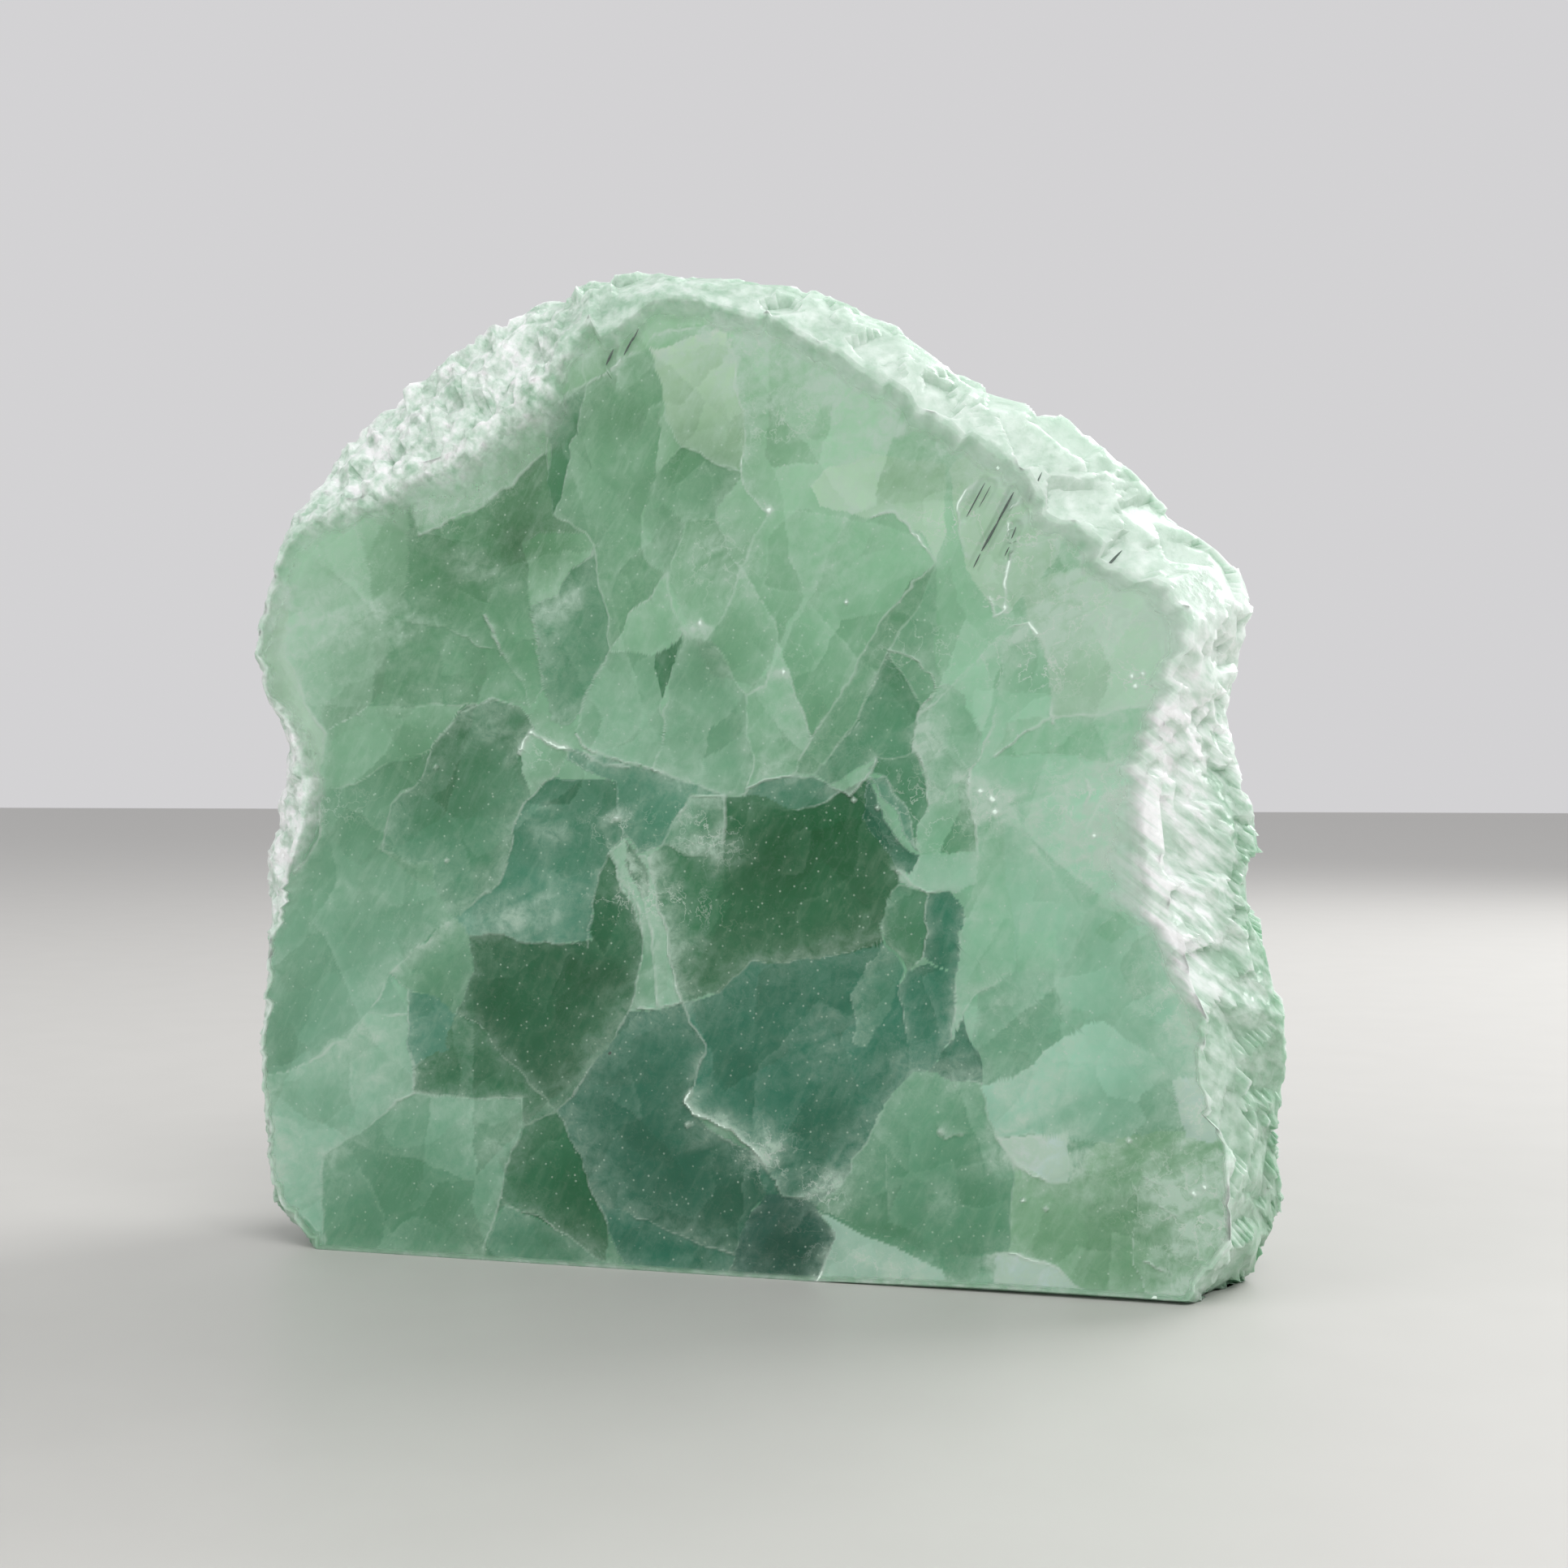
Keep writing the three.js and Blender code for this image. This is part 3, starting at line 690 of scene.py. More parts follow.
# x and z on the polished face, in millimetres. Later grains lie over earlier ones.
GRAINS = [Grain(*row) for row in [
    ("ground", "soft", (0, 0, 0), (0, 0), [(-52.6, 99.6), (52.3, 91.8), (52.3, -5.2),
        (-52.6, -13.2)]),
    ("upper_right_field", "pale", (60, 9, 0.35), (225, 0.25), [(0.4, 92.1), (42.5, 89.2),
        (49.1, 48.3), (38.5, 41.6), (25.7, 31.4), (22, 38), (20.9, 44.3), (19.1, 52.6),
        (18.9, 59.5), (18.4, 63.1), (17.7, 65.5), (3.6, 67.9), (1.3, 73.2), (0.4, 81.2),
        (-1.1, 85.6)]),
    ("right_field", "pale", (20, 10, 0.3), (215, 0.3), [(22, 52), (43.8, 51.1), (42.5, 21.9),
        (38.5, 15.6), (30.3, 13.5), (25.8, 18.9), (22.3, 25.8), (22.2, 38), (21.7, 44.3)]),
    ("left_field", "mid", (200, 6, 0.2), (90, 0.1), [(-48.3, 50.6), (-40.2, 43.2),
        (-36.4, 44.2), (-33.9, 45.3), (-28.7, 47), (-29.9, 44.4), (-33.1, 42.1), (-33.9, 37.5),
        (-28.7, 34), (-26.8, 31.6), (-33.2, 26.2), (-31.4, 22.4), (-36.4, 21.4), (-41.4, 17.5),
        (-48.3, 15.7)]),
    ("bottom_field", "shade", (0, 4, 0.2), (270, 0.1), [(-46.5, 15.8), (49.1, 19.4),
        (49.1, -2.1), (-46.5, -6.6)]),
    ("shoulder", "pale", (170, 9, 0.5), (335, 0.6), [(-47.4, 71.4), (-39.3, 71.6),
        (-38.7, 71.1), (-36, 71.7), (-32.7, 71.5), (-31.4, 70.4), (-30.4, 67.4), (-31.4, 62.5),
        (-33.5, 59.1), (-33.2, 56.5), (-33.9, 52.7), (-35.6, 51.2), (-38.1, 49.7), (-39.3, 48.9),
        (-44.8, 48.6), (-48.3, 56.7)]),
    ("shoulder_edge", "milk", (20, 2.5, 0.25), (180, 0.1), [(-48.3, 62.9), (-43.8, 61.7),
        (-43.7, 58.2), (-43.6, 55.9), (-42.5, 53.6), (-41.4, 50.9), (-39.7, 48.6), (-40.8, 43.2),
        (-48.3, 44.4)]),
    ("dusk_field", "shade", (250, 7, 0.28), (80, 0.25), [(-31.4, 70.4), (-30.2, 66.9),
        (-27.7, 67.9), (-24.1, 69.2), (-22.5, 70.3), (-17.5, 74.4), (-17.1, 71), (-16.9, 68.4),
        (-15.3, 67.8), (-13.6, 66.7), (-18.1, 66.8), (-19.7, 66.3), (-19.1, 60.3), (-18.1, 54.7),
        (-17.5, 52.5), (-19.3, 50.9), (-22.9, 51.9), (-25.7, 51.3), (-29.8, 51.3), (-35.6, 51.2),
        (-33.9, 52.7), (-33.2, 56.5), (-33.5, 59.1), (-31.4, 62.5)]),
    ("crust_band", "soft", (120, 6, 0.5), (300, 0.3), [(-31.4, 70.4), (-30.6, 67.8),
        (-30.2, 66.9), (-27.7, 67.9), (-25.7, 69), (-22.5, 70.3), (-17.5, 74.4), (-17.4, 78.1),
        (-15.3, 79.5), (-13.6, 80.3), (-14.4, 83.5), (-16.1, 85.8), (-20.1, 80.8), (-24.9, 75.4),
        (-29.8, 72.3)]),
    ("notch_blade", "pale", (180, 1.5, 0.3), (0, 0), [(-16.1, 90.2), (-14.4, 88.3),
        (-13.6, 85.7), (-14, 83.5), (-13.6, 80.3), (-15.3, 79.5), (-16.9, 83.6)]),
    ("top_cubes", "pale", (90, 3, 0.3), (0, 0), [(-16.1, 91), (-3.7, 90.9), (-1.1, 89.4),
        (-1.2, 86.7), (-1.1, 85.6), (-3.7, 85.1), (-6.9, 84.4), (-7.6, 83), (-11.3, 81.7),
        (-13.6, 80.3), (-14, 83.5), (-13.6, 85.7)]),
    ("dark_wedge", "dim", (90, 3, 0.1), (270, 0.1), [(-13.8, 80.1), (-14.4, 77.6),
        (-14.9, 75), (-15.5, 72.4), (-16.1, 69.9), (-16.9, 68.4), (-17.5, 71), (-17.1, 74),
        (-17.4, 75.5), (-17.4, 78.1), (-15.3, 79.3)]),
    ("left_tusk", "mid", (115, 5, 0.3), (300, 0.2), [(-13.8, 80.1), (-13, 81), (-11.3, 81.5),
        (-9.5, 82.5), (-7.3, 82.9), (-7.1, 81.2), (-6.3, 77.9), (-6.6, 75.7), (-7.1, 73.9),
        (-7.3, 70.7), (-7.8, 69.2), (-8.6, 66.7), (-10, 63.4), (-11.3, 56.1), (-11.6, 59.1),
        (-12.6, 61.7), (-12.8, 65.6), (-13.6, 66.7), (-15.3, 67.8), (-16.8, 68.4), (-16.1, 69.9),
        (-14.9, 75), (-14.4, 77.6)]),
    ("milk_tooth", "milk", (80, 6, 0.5), (270, 0.35), [(-7.3, 83), (-4.5, 83.4), (-3, 84.3),
        (-1, 84.8), (-0.2, 84.3), (0.2, 82.7), (0.5, 80.8), (1, 77.2), (1.4, 73.2), (0.8, 72),
        (0.1, 72.5), (-1.1, 72.5), (-2.6, 73.4), (-4.5, 74), (-5.6, 76.1), (-6.4, 78.7),
        (-7.1, 81.2)]),
    ("blue_chip", "pale", (120, 1.5, 0.35), (0, 0), [(-6.2, 77), (-5.7, 76.3), (-4.5, 74),
        (-6, 72.8), (-7.3, 72.1), (-7.1, 73.9), (-6.6, 75.7)]),
    ("lower_tooth", "mid", (300, 4, 0.4), (60, 0.15), [(-7.3, 72), (-6, 72.8), (-4.5, 74),
        (-2.6, 73.4), (-1.1, 72.5), (0.1, 72.5), (1, 71.8), (0.1, 70.4), (-1.2, 68.4),
        (-1.4, 66.1), (-3.7, 67.6), (-4.9, 66.9), (-7.8, 67.8), (-7.8, 69.2)]),
    ("right_tooth", "pale", (140, 3, 0.3), (300, 0.2), [(1.1, 71.6), (1.9, 69.9),
        (3.6, 67.9), (2.7, 66.3), (1.7, 64.5), (1, 63.1), (0.1, 63.9), (-1.4, 65.9), (-1.2, 68.4),
        (0.1, 70.4)]),
    ("thumb", "mid", (190, 3, 0.3), (30, 0.25), [(-8.6, 66.7), (-7.8, 68.5), (-6.2, 69.3),
        (-4.6, 67.6), (-5.1, 64.7), (-5.8, 63.1), (-7.3, 63.6), (-8.3, 64.5)]),
    ("cap_haze", "soft", (270, 5, 0.55), (60, 0.3), [(-5.8, 63.1), (-5.1, 64.7),
        (-4.5, 67.6), (-1.4, 67.5), (1, 63.1), (0.4, 61), (-0.8, 58.5), (-2.1, 57), (-3.7, 57.4),
        (-4.8, 58.3), (-5.4, 59.6)]),
    ("left_flame", "shade", (70, 4, 0.15), (250, 0.15), [(-12.8, 65.6), (-10.6, 66),
        (-8.6, 66.7), (-8.3, 64.5), (-7.3, 63.6), (-5.8, 63.1), (-7.2, 61), (-9.5, 59.2),
        (-10, 57.6), (-11.3, 55.9), (-11.6, 59.1), (-12.6, 61.7)]),
    ("strip_blade", "soft", (45, 2, 0.45), (220, 0.1), [(-5.8, 63.1), (-5.4, 59.6),
        (-4.3, 57.7), (-5.1, 57.1), (-6, 56.2), (-7.9, 55.5), (-11.3, 55.9), (-10, 57.6),
        (-9.5, 59.2), (-7.2, 61)]),
    ("lens_haze", "dim", (240, 6, 0.6), (30, 0.2), [(-16.3, 61), (-15.3, 63.4),
        (-13.1, 64.6), (-12.8, 65.6), (-12.6, 61.7), (-11.6, 59.1), (-11.3, 55.9), (-12, 54.6),
        (-13.4, 52.5), (-14.3, 50.6), (-15.3, 49.3), (-16.9, 49.9), (-17.5, 52.5), (-18.1, 54.7),
        (-18.7, 58.5), (-19.1, 60.3)]),
    ("dark_prism", "dark", (80, 2, 0.1), (0, 0), [(-4.5, 57.7), (-4.8, 56.4), (-5.4, 53.5),
        (-6.4, 51.5), (-7, 53.8), (-7, 55.6), (-5.5, 56.2)]),
    ("low_fan", "mid", (250, 6, 0.3), (70, 0.2), [(-14.2, 47.8), (-14.3, 50.6),
        (-13.4, 52.5), (-12, 54.6), (-11.3, 55.9), (-7.9, 55.5), (-7, 55.6), (-7, 53.8),
        (-6.4, 51.5), (-6.2, 49.8), (-6.8, 46.9), (-7.2, 45.3), (-10.6, 46), (-13.1, 46.7)]),
    ("belly_blade", "mid", (240, 5, 0.45), (60, 0.15), [(-4.3, 57.7), (-3.3, 57.1),
        (-1.4, 57), (-0.7, 55.3), (0.4, 53), (1.4, 51.7), (1.8, 47.2), (2.2, 45.2), (1.4, 43),
        (-0.3, 42.9), (-3.7, 43.8), (-7.2, 45.3), (-6.8, 46.9), (-6.2, 49.8), (-5.4, 53.5),
        (-4.8, 56.4)]),
    ("heart_lens", "soft", (40, 4, 0.45), (220, 0.15), [(1, 63), (2.3, 61.3), (3.6, 59.3),
        (4.3, 58.4), (4.3, 56.9), (3.8, 54.8), (3.1, 52.6), (1.4, 51.7), (0.4, 53), (-0.7, 55.6),
        (-1.6, 57.2), (-0.8, 58.5), (0.4, 61)]),
    ("haze_sliver", "soft", (60, 3, 0.8), (250, 0.2), [(4.3, 56.6), (5.3, 54), (6.4, 51.1),
        (7.6, 48.1), (6.4, 46.1), (5.8, 45), (2.2, 44.3), (1.9, 46.5), (1.7, 48.7), (1.4, 51.7),
        (3.1, 52.6), (3.8, 54.8)]),
    ("great_tooth", "soft", (60, 7, 0.3), (240, 0.3), [(3.6, 67.9), (6.4, 68.1),
        (10.5, 67.1), (14.8, 66.3), (17.7, 65.5), (18.4, 63.1), (16.3, 60.9), (14.2, 59.2),
        (13, 57.1), (11.5, 53.6), (9.4, 50.8), (7.6, 48.1), (6.4, 51.1), (5.3, 54), (4.3, 56.9),
        (4.3, 58.4), (2.3, 61.3), (1, 63), (2.7, 66.3)]),
    ("tooth_flank", "shade", (320, 3, 0.25), (120, 0.1), [(18.4, 63.1), (17, 59.5),
        (14.4, 55.9), (13.4, 53.6), (11.9, 49.7), (9.7, 46.8), (7.5, 44.7), (5.8, 45),
        (6.4, 46.1), (7.6, 48.1), (9.4, 50.8), (11.5, 53.6), (13, 57.1), (14.2, 59.2)]),
    ("dark_fin", "dim", (60, 3, 0.1), (90, 0.15), [(14.4, 55.9), (15.2, 54.2), (16.8, 51.4),
        (17.3, 50.7), (16.5, 48.6), (16.8, 46.8), (13.4, 45.9), (11.5, 45), (9, 43.5),
        (7.5, 44.7), (9.7, 46.8), (11.9, 49.7), (13.4, 53.6)]),
    ("fin_flank", "mid", (30, 3, 0.3), (220, 0.15), [(18.4, 63.1), (18.9, 59.5),
        (18.4, 56.3), (19, 52.6), (17.3, 50.7), (16.8, 51.4), (15.2, 54.2), (14.4, 55.9),
        (17, 59.5)]),
    ("haze_panel", "mid", (180, 4, 0.8), (0, 0.2), [(19.1, 52.6), (21.2, 51.7), (22, 49.6),
        (22.7, 48.5), (21.7, 45), (21.7, 42.2), (20.9, 44.3), (18, 42.2), (17.7, 45),
        (16.5, 47.1), (16.5, 48.6), (17.3, 50.7)]),
    ("upper_step", "milk", (270, 4, 0.3), (90, 0.2), [(7.5, 70.1), (9, 71.6), (11.8, 72.4),
        (14.8, 72.7), (19.5, 71.8), (19.5, 65.4), (18.4, 63.1), (17.7, 65.5), (14.8, 67.9),
        (12.6, 67.1), (8.3, 68.3)]),
    ("needle_bed", "bright", (20, 5, 0.6), (200, 0.15), [(19.8, 71.4), (24.4, 75),
        (29.6, 72), (31, 67.8), (28.9, 63), (24.8, 58.6), (23, 59.7), (21.2, 63.3),
        (20.5, 66.8)]),
    ("bright_shelf", "bright", (45, 6, 0.5), (225, 0.3), [(26.2, 61), (31.7, 62.3),
        (38.5, 64), (39.5, 61.5), (41.8, 56.6), (42.4, 51.8), (38.3, 50.8), (35.8, 50.3),
        (32, 49.8), (28.9, 49.7), (28.5, 53.3), (26.9, 57.9)]),
    ("teal_shelf", "soft", (90, 3, 0.4), (270, 0.1), [(28.9, 49.7), (32, 49.8), (35.8, 50.3),
        (38.3, 50.8), (39.2, 49.1), (38.2, 46), (34.6, 45.7), (28.9, 46.4), (23.7, 46.1),
        (24.6, 49.2)]),
    ("ridge_left", "dim", (200, 4, 0.4), (40, 0.2), [(-27.5, 48.9), (-25.7, 51.1),
        (-22.9, 51.9), (-20.1, 50.8), (-18.7, 48.9), (-19.7, 46.2), (-18.9, 42.5), (-19.7, 41.7),
        (-20.7, 39.9), (-21, 37.6), (-22.2, 35), (-24.1, 33.3), (-26.8, 31.6), (-28.7, 34),
        (-28.6, 36.4), (-33.9, 37.5), (-33.1, 42.1), (-31.4, 43.2), (-29.9, 44.4), (-29.4, 45.5),
        (-28.7, 47)]),
    ("small_wedge", "shade", (30, 1.5, 0.5), (200, 0.1), [(-33.9, 37.5), (-28.6, 36.4),
        (-28.7, 34), (-31.4, 35.8)]),
    ("left_table", "soft", (60, 5, 0.35), (250, 0.2), [(-39.3, 48.9), (-35.6, 51.2),
        (-25.7, 51.3), (-27.5, 48.9), (-28.7, 47), (-31, 46.6), (-33.9, 45.3), (-36.4, 44.2),
        (-40.2, 43.2), (-39.7, 45.9)]),
    ("white_lozenge", "soft", (140, 2, 0.8), (320, 0.4), [(-18.7, 48.9), (-15.2, 47.1),
        (-15.3, 46.2), (-16.7, 44.7), (-18.1, 43.8), (-18.9, 42.5), (-19.8, 44.7),
        (-20.1, 46.6)]),
    ("mid_panel", "sea", (235, 9, 0.2), (60, 0.25), [(-16.8, 44.6), (-11.8, 44.2),
        (-10.8, 44), (-10.4, 41.4), (-9.9, 39.2), (-11.6, 37.6), (-12.6, 35.5), (-12.8, 33.3),
        (-13.5, 29.7), (-16.9, 29.2), (-21.7, 29.7), (-25.3, 30), (-26.8, 31.6), (-24.1, 33.3),
        (-22.2, 35), (-21, 37.6), (-20.7, 39.9), (-19.7, 41.7), (-18.1, 43.6)]),
    ("under_rim", "sea", (90, 3, 0.5), (250, 0.2), [(-15.2, 47.1), (-13.8, 46.9),
        (-11.4, 46.2), (-7.2, 45.2), (-3.7, 43.8), (-0.3, 42.9), (-0.5, 42.5), (-3.7, 42.9),
        (-4.9, 41.1), (-6.4, 38.5), (-8.7, 37.7), (-9.9, 39.2), (-10.4, 41.4), (-10.8, 44),
        (-15.3, 45.8)]),
    ("pale_gate", "dim", (270, 3, 0.5), (300, 0.25), [(-4.9, 41.1), (-3.7, 42.9),
        (-0.5, 42.7), (-0.5, 37.8), (-2.2, 37.1), (-6.4, 38.5)]),
    ("rim_eye", "sea", (90, 2, 0.5), (270, 0.2), [(1.4, 42.9), (3.1, 44.3), (5.8, 44.7),
        (7.5, 44.5), (9, 43.5), (10.5, 43.3), (8.6, 42.2), (6.4, 41.5), (3.1, 41.1),
        (2.3, 42.2)]),
    ("small_chip", "shade", (130, 2, 0.8), (310, 0.3), [(-33.2, 26.2), (-31.4, 27.6),
        (-26.8, 31.6), (-25.3, 30), (-24.5, 27.5), (-25.5, 25.2), (-26.5, 22.8), (-29, 24),
        (-31.3, 24.9)]),
    ("teal_chip", "sea", (170, 3, 0.2), (0, 0), [(-31.3, 24.9), (-29, 24), (-26.5, 22.8),
        (-27.5, 20.3), (-27.2, 19.2), (-31, 17.9), (-31.2, 21.7)]),
    ("corner_panel", "soft", (160, 6, 0.6), (330, 0.2), [(-41.4, 17.5), (-37.6, 20),
        (-36.4, 21.4), (-35.1, 22.2), (-31.4, 22.4), (-31.2, 21.7), (-31, 17.9), (-30.5, 15.3),
        (-32.3, 14.5), (-34.3, 12.9), (-36.4, 11.2), (-39.7, 8.8), (-40.2, 7.6), (-39.6, 1.5),
        (-43.1, 3.6), (-46.5, 4.4), (-47, 15.8)]),
    ("central_pool", "deep", (20, 5, 0.12), (180, 0.3), [(-25.3, 30), (-21.7, 29.7),
        (-16.9, 29.2), (-13.5, 29.6), (-12.8, 33.3), (-12.6, 35.5), (-11.6, 37.6), (-10.4, 34.8),
        (-9.5, 33.3), (-8.3, 30.4), (-8.5, 28.2), (-8.9, 25.7), (-9.6, 23.2), (-11.3, 20.1),
        (-12.2, 19.1), (-13.9, 17), (-16.7, 13.8), (-20.1, 17.2), (-22.3, 19.5), (-24.1, 21.5),
        (-26.5, 22.8), (-25.5, 25.2), (-24.5, 27.5)]),
    ("pool_apron", "dark", (60, 5, 0.2), (200, 0.1), [(-27.5, 20.3), (-26.5, 22.8),
        (-24.1, 21.5), (-22.3, 19.5), (-20.1, 17.2), (-16.7, 13.8), (-19.7, 12.5), (-20.1, 15.3),
        (-25.3, 14.7), (-30.5, 15.3), (-31, 17.9), (-27.2, 19.2)]),
    ("left_floor", "shade", (95, 4, 0.3), (270, 0.25), [(-30.5, 15.3), (-25.3, 14.7),
        (-20.1, 15.3), (-19.7, 13.1), (-20.9, 10.1), (-21.7, 7.8), (-22.9, 3.2), (-23.9, -0.5),
        (-39.6, -1.5), (-40.2, 7.6), (-39.7, 8.8), (-36.4, 11.2), (-32.3, 14.5)]),
    ("floor_pool", "dark", (150, 3, 0.15), (300, 0.1), [(-19.7, 12.5), (-16.7, 13.8),
        (-14.7, 11.1), (-14, 8.9), (-12.7, 6), (-11.8, 3.3), (-12, 0.5), (-16.1, 2.9),
        (-21.7, 5.2), (-22.7, 4), (-21.7, 7.8), (-20.9, 10.1)]),
    ("floor_sail", "dim", (55, 3, 0.3), (235, 0.1), [(-21.7, 5), (-16.1, 2.9), (-12, 0.5),
        (-9.5, -1.1), (-24.1, -2.1), (-22.7, 3.3)]),
    ("lower_pool", "ink", (200, 5, 0.4), (0, 0.1), [(-11.8, 16.4), (-7.9, 16.5),
        (-3.9, 14.7), (-2.2, 12.8), (1.9, 11.1), (3.4, 7.6), (1.9, 6.1), (0.4, 1.7), (-3, 2.6),
        (-7.6, 4.5), (-11.8, 3.3), (-12.7, 6), (-14, 8.9), (-14.7, 11.1), (-16.7, 13.8),
        (-13.9, 17)]),
    ("lower_band", "teal", (60, 3, 0.2), (230, 0.1), [(-12.4, 5.7), (-7.6, 4.5), (-3, 2.6),
        (0.4, 1.7), (-0.3, -0.5), (-9.5, -0.8), (-11.8, 3.3)]),
    ("darkest_keel", "abyss", (90, 2, 0), (90, 0), [(2.3, 6.3), (3.4, 7.6), (4.9, 7.1),
        (8, 6.6), (9.5, 3.6), (8.3, 1.1), (7.5, -1.5), (-0.7, -1.3), (0.4, 1.7), (1.9, 6.1)]),
    ("white_blade", "soft", (75, 4, 0.9), (240, 0.2), [(-7.8, 37.4), (-6.8, 34.1),
        (-5.9, 30.1), (-5.1, 26.8), (-4.6, 24.2), (-8.7, 23.6), (-9.6, 23.2), (-8.7, 26.4),
        (-8.3, 30.4), (-9.5, 33.3), (-10.4, 34.8), (-11.6, 37.6), (-10, 38.8), (-8.7, 37.7)]),
    ("blade_eye", "deep", (90, 1, 0.1), (0, 0), [(-10, 38.8), (-8.7, 37.7), (-7.6, 35.9),
        (-7.8, 33.7), (-8.5, 33.7), (-9.9, 36.3)]),
    ("pool_bank", "ink", (100, 5, 0.3), (270, 0.1), [(-9.6, 23.2), (-4.6, 24.2),
        (-3.9, 22.9), (-2.4, 20.5), (-3.3, 17.1), (-3.7, 16.3), (-3.9, 14.7), (-7.9, 16.5),
        (-11.8, 16.4), (-13.9, 17), (-12.2, 19.1), (-11.3, 20.1)]),
    ("great_pool", "dark", (200, 8, 0.12), (330, 0.2), [(-0.5, 42.7), (3.1, 42.9),
        (6.4, 41.5), (8.6, 42.2), (10.5, 43.3), (12.5, 44.2), (14.1, 41.1), (16.3, 38),
        (16.1, 36), (15, 36.4), (15.2, 35.1), (14.4, 34.1), (13.5, 31.6), (13.9, 30), (9, 28.8),
        (5.3, 28.1), (2.3, 28), (0.1, 26.6), (-1.1, 25.1), (-4.6, 24.2), (-5.1, 26.8),
        (-5.9, 30.1), (-6.8, 34.1), (-7.8, 37.4), (-6.4, 38.5), (-2.2, 37.1), (-0.5, 37.8)]),
    ("second_pool", "teal", (100, 7, 0.2), (280, 0.2), [(-4.6, 24.2), (-2.2, 24.4),
        (-1.1, 25.1), (0.1, 26.6), (2.3, 28), (5.3, 28.1), (9, 28.8), (13.9, 30), (15.7, 27.6),
        (15.3, 25.2), (16.1, 21.4), (16.6, 19), (14.7, 16.7), (13.9, 14.9), (12.6, 13.4),
        (11.2, 10.5), (9.6, 8.1), (8, 6.6), (4.9, 7.1), (3.4, 7.6), (1.9, 11.1), (0.1, 12.9),
        (-1.1, 13.2), (-3.5, 14.2), (-4, 15.4), (-3.3, 17.1), (-2.4, 20.5), (-3.9, 22.9)]),
    ("pool_shore", "sea", (110, 4, 0.5), (300, 0.1), [(13.9, 30), (15.7, 27.6), (14.8, 25.2),
        (13.4, 22.7), (12.6, 20.9), (11.5, 20.8), (11.8, 22.6), (11.2, 25.1), (12.3, 28)]),
    ("neck_glint", "ink", (60, 2, 0.1), (0, 0), [(12.5, 44.2), (14.1, 41.1), (16.3, 38),
        (17.1, 37.6), (16.3, 36), (15, 36.4), (13.7, 38.7), (12.1, 40.8)]),
    ("neck_strip", "sea", (60, 1.5, 0.5), (0, 0), [(12.6, 44.3), (15.2, 41.1), (17, 38),
        (16.6, 40.7), (14.1, 44.3)]),
    ("dark_gate", "dim", (60, 2, 0.15), (240, 0.1), [(13.4, 45.9), (16.8, 46.8),
        (17.7, 44.3), (18, 42.2), (17.2, 40.4), (17, 38), (16.6, 40.7), (14.1, 44.3),
        (12.6, 45)]),
    ("gate_panel", "soft", (150, 3, 0.35), (330, 0.1), [(18, 42.2), (20.9, 44.3),
        (20.4, 40.8), (19.1, 38), (17, 37.8), (17.2, 40.4)]),
    ("gate_panel_2", "shade", (60, 3, 0.5), (240, 0.1), [(21.7, 44.3), (22.1, 38.7),
        (22, 37.9), (19.1, 37.8), (20.4, 40.8), (20.9, 44.3)]),
    ("light_lintel", "pale", (250, 3, 0.5), (90, 0.1), [(17.2, 37.6), (22.2, 37.9),
        (22.2, 35.2), (20.2, 34.5), (18.4, 34.8), (17.7, 34.6), (15.2, 35.3), (15, 36.2),
        (16.1, 36)]),
    ("lintel_chip", "dim", (200, 2, 0.5), (0, 0.1), [(15.2, 35.1), (17.7, 34.6),
        (17.8, 31.3), (17.1, 28.8), (15.9, 27.7), (14.4, 29.8), (13.5, 31.6), (14.4, 34.1)]),
    ("dark_chip_1", "teal", (90, 1.5, 0.15), (0, 0), [(17.7, 34.4), (20, 34.5), (20.9, 33.1),
        (20.8, 31), (20.2, 27.6), (18.4, 28.1), (17.1, 28.7), (17.8, 31.3)]),
    ("dark_chip_2", "teal", (200, 1.5, 0.3), (0, 0.1), [(16, 27.6), (17.7, 28.2), (20, 27.5),
        (20.2, 23.9), (20, 21.8), (18.2, 19.1), (16.6, 19), (16.1, 21.4), (15.3, 25.2)]),
    ("dark_chip_3", "ink", (90, 1.2, 0.1), (0, 0), [(20.9, 23.8), (22, 21.2), (22.9, 18.1),
        (20.2, 18.3), (18.2, 19.1), (20, 21.7)]),
    ("column_right", "soft", (180, 4, 0.3), (0, 0.1), [(22.3, 41.5), (24.6, 40.8),
        (25.1, 33.9), (25.7, 31.4), (25.5, 27.6), (22.3, 25.8), (20.9, 23.8), (20.2, 21.5),
        (20.2, 27.5), (20.9, 33.1), (22.2, 35.2), (22.2, 37.9)]),
    ("fern_dark", "mid", (60, 4, 0.2), (240, 0.1), [(25.5, 27.6), (28.7, 27.7), (29.3, 25.3),
        (32, 24.5), (31.4, 23.4), (29.3, 22.1), (26.9, 19.8), (25.8, 18.9), (22.9, 18.1),
        (22, 21.2), (22.3, 25.8)]),
    ("fern_top", "soft", (30, 3, 0.3), (240, 0.1), [(26, 31.1), (28.9, 31.5), (28.9, 27.7),
        (25.5, 27.6)]),
    ("dart", "soft", (60, 1.2, 0.3), (0, 0), [(32.2, 31.3), (34.4, 33.2), (35.5, 33.3),
        (36.1, 32), (33.8, 30.5)]),
    ("pale_apron", "pale", (110, 5, 0.4), (290, 0.5), [(22.9, 18.1), (25.8, 18.9),
        (26.9, 19.8), (29.3, 22.1), (31.4, 23.4), (33.1, 23.5), (34.8, 22.3), (38.5, 20),
        (40, 15), (35.8, 13.4), (30.3, 13.5), (29.6, 14), (23.9, 13.2)]),
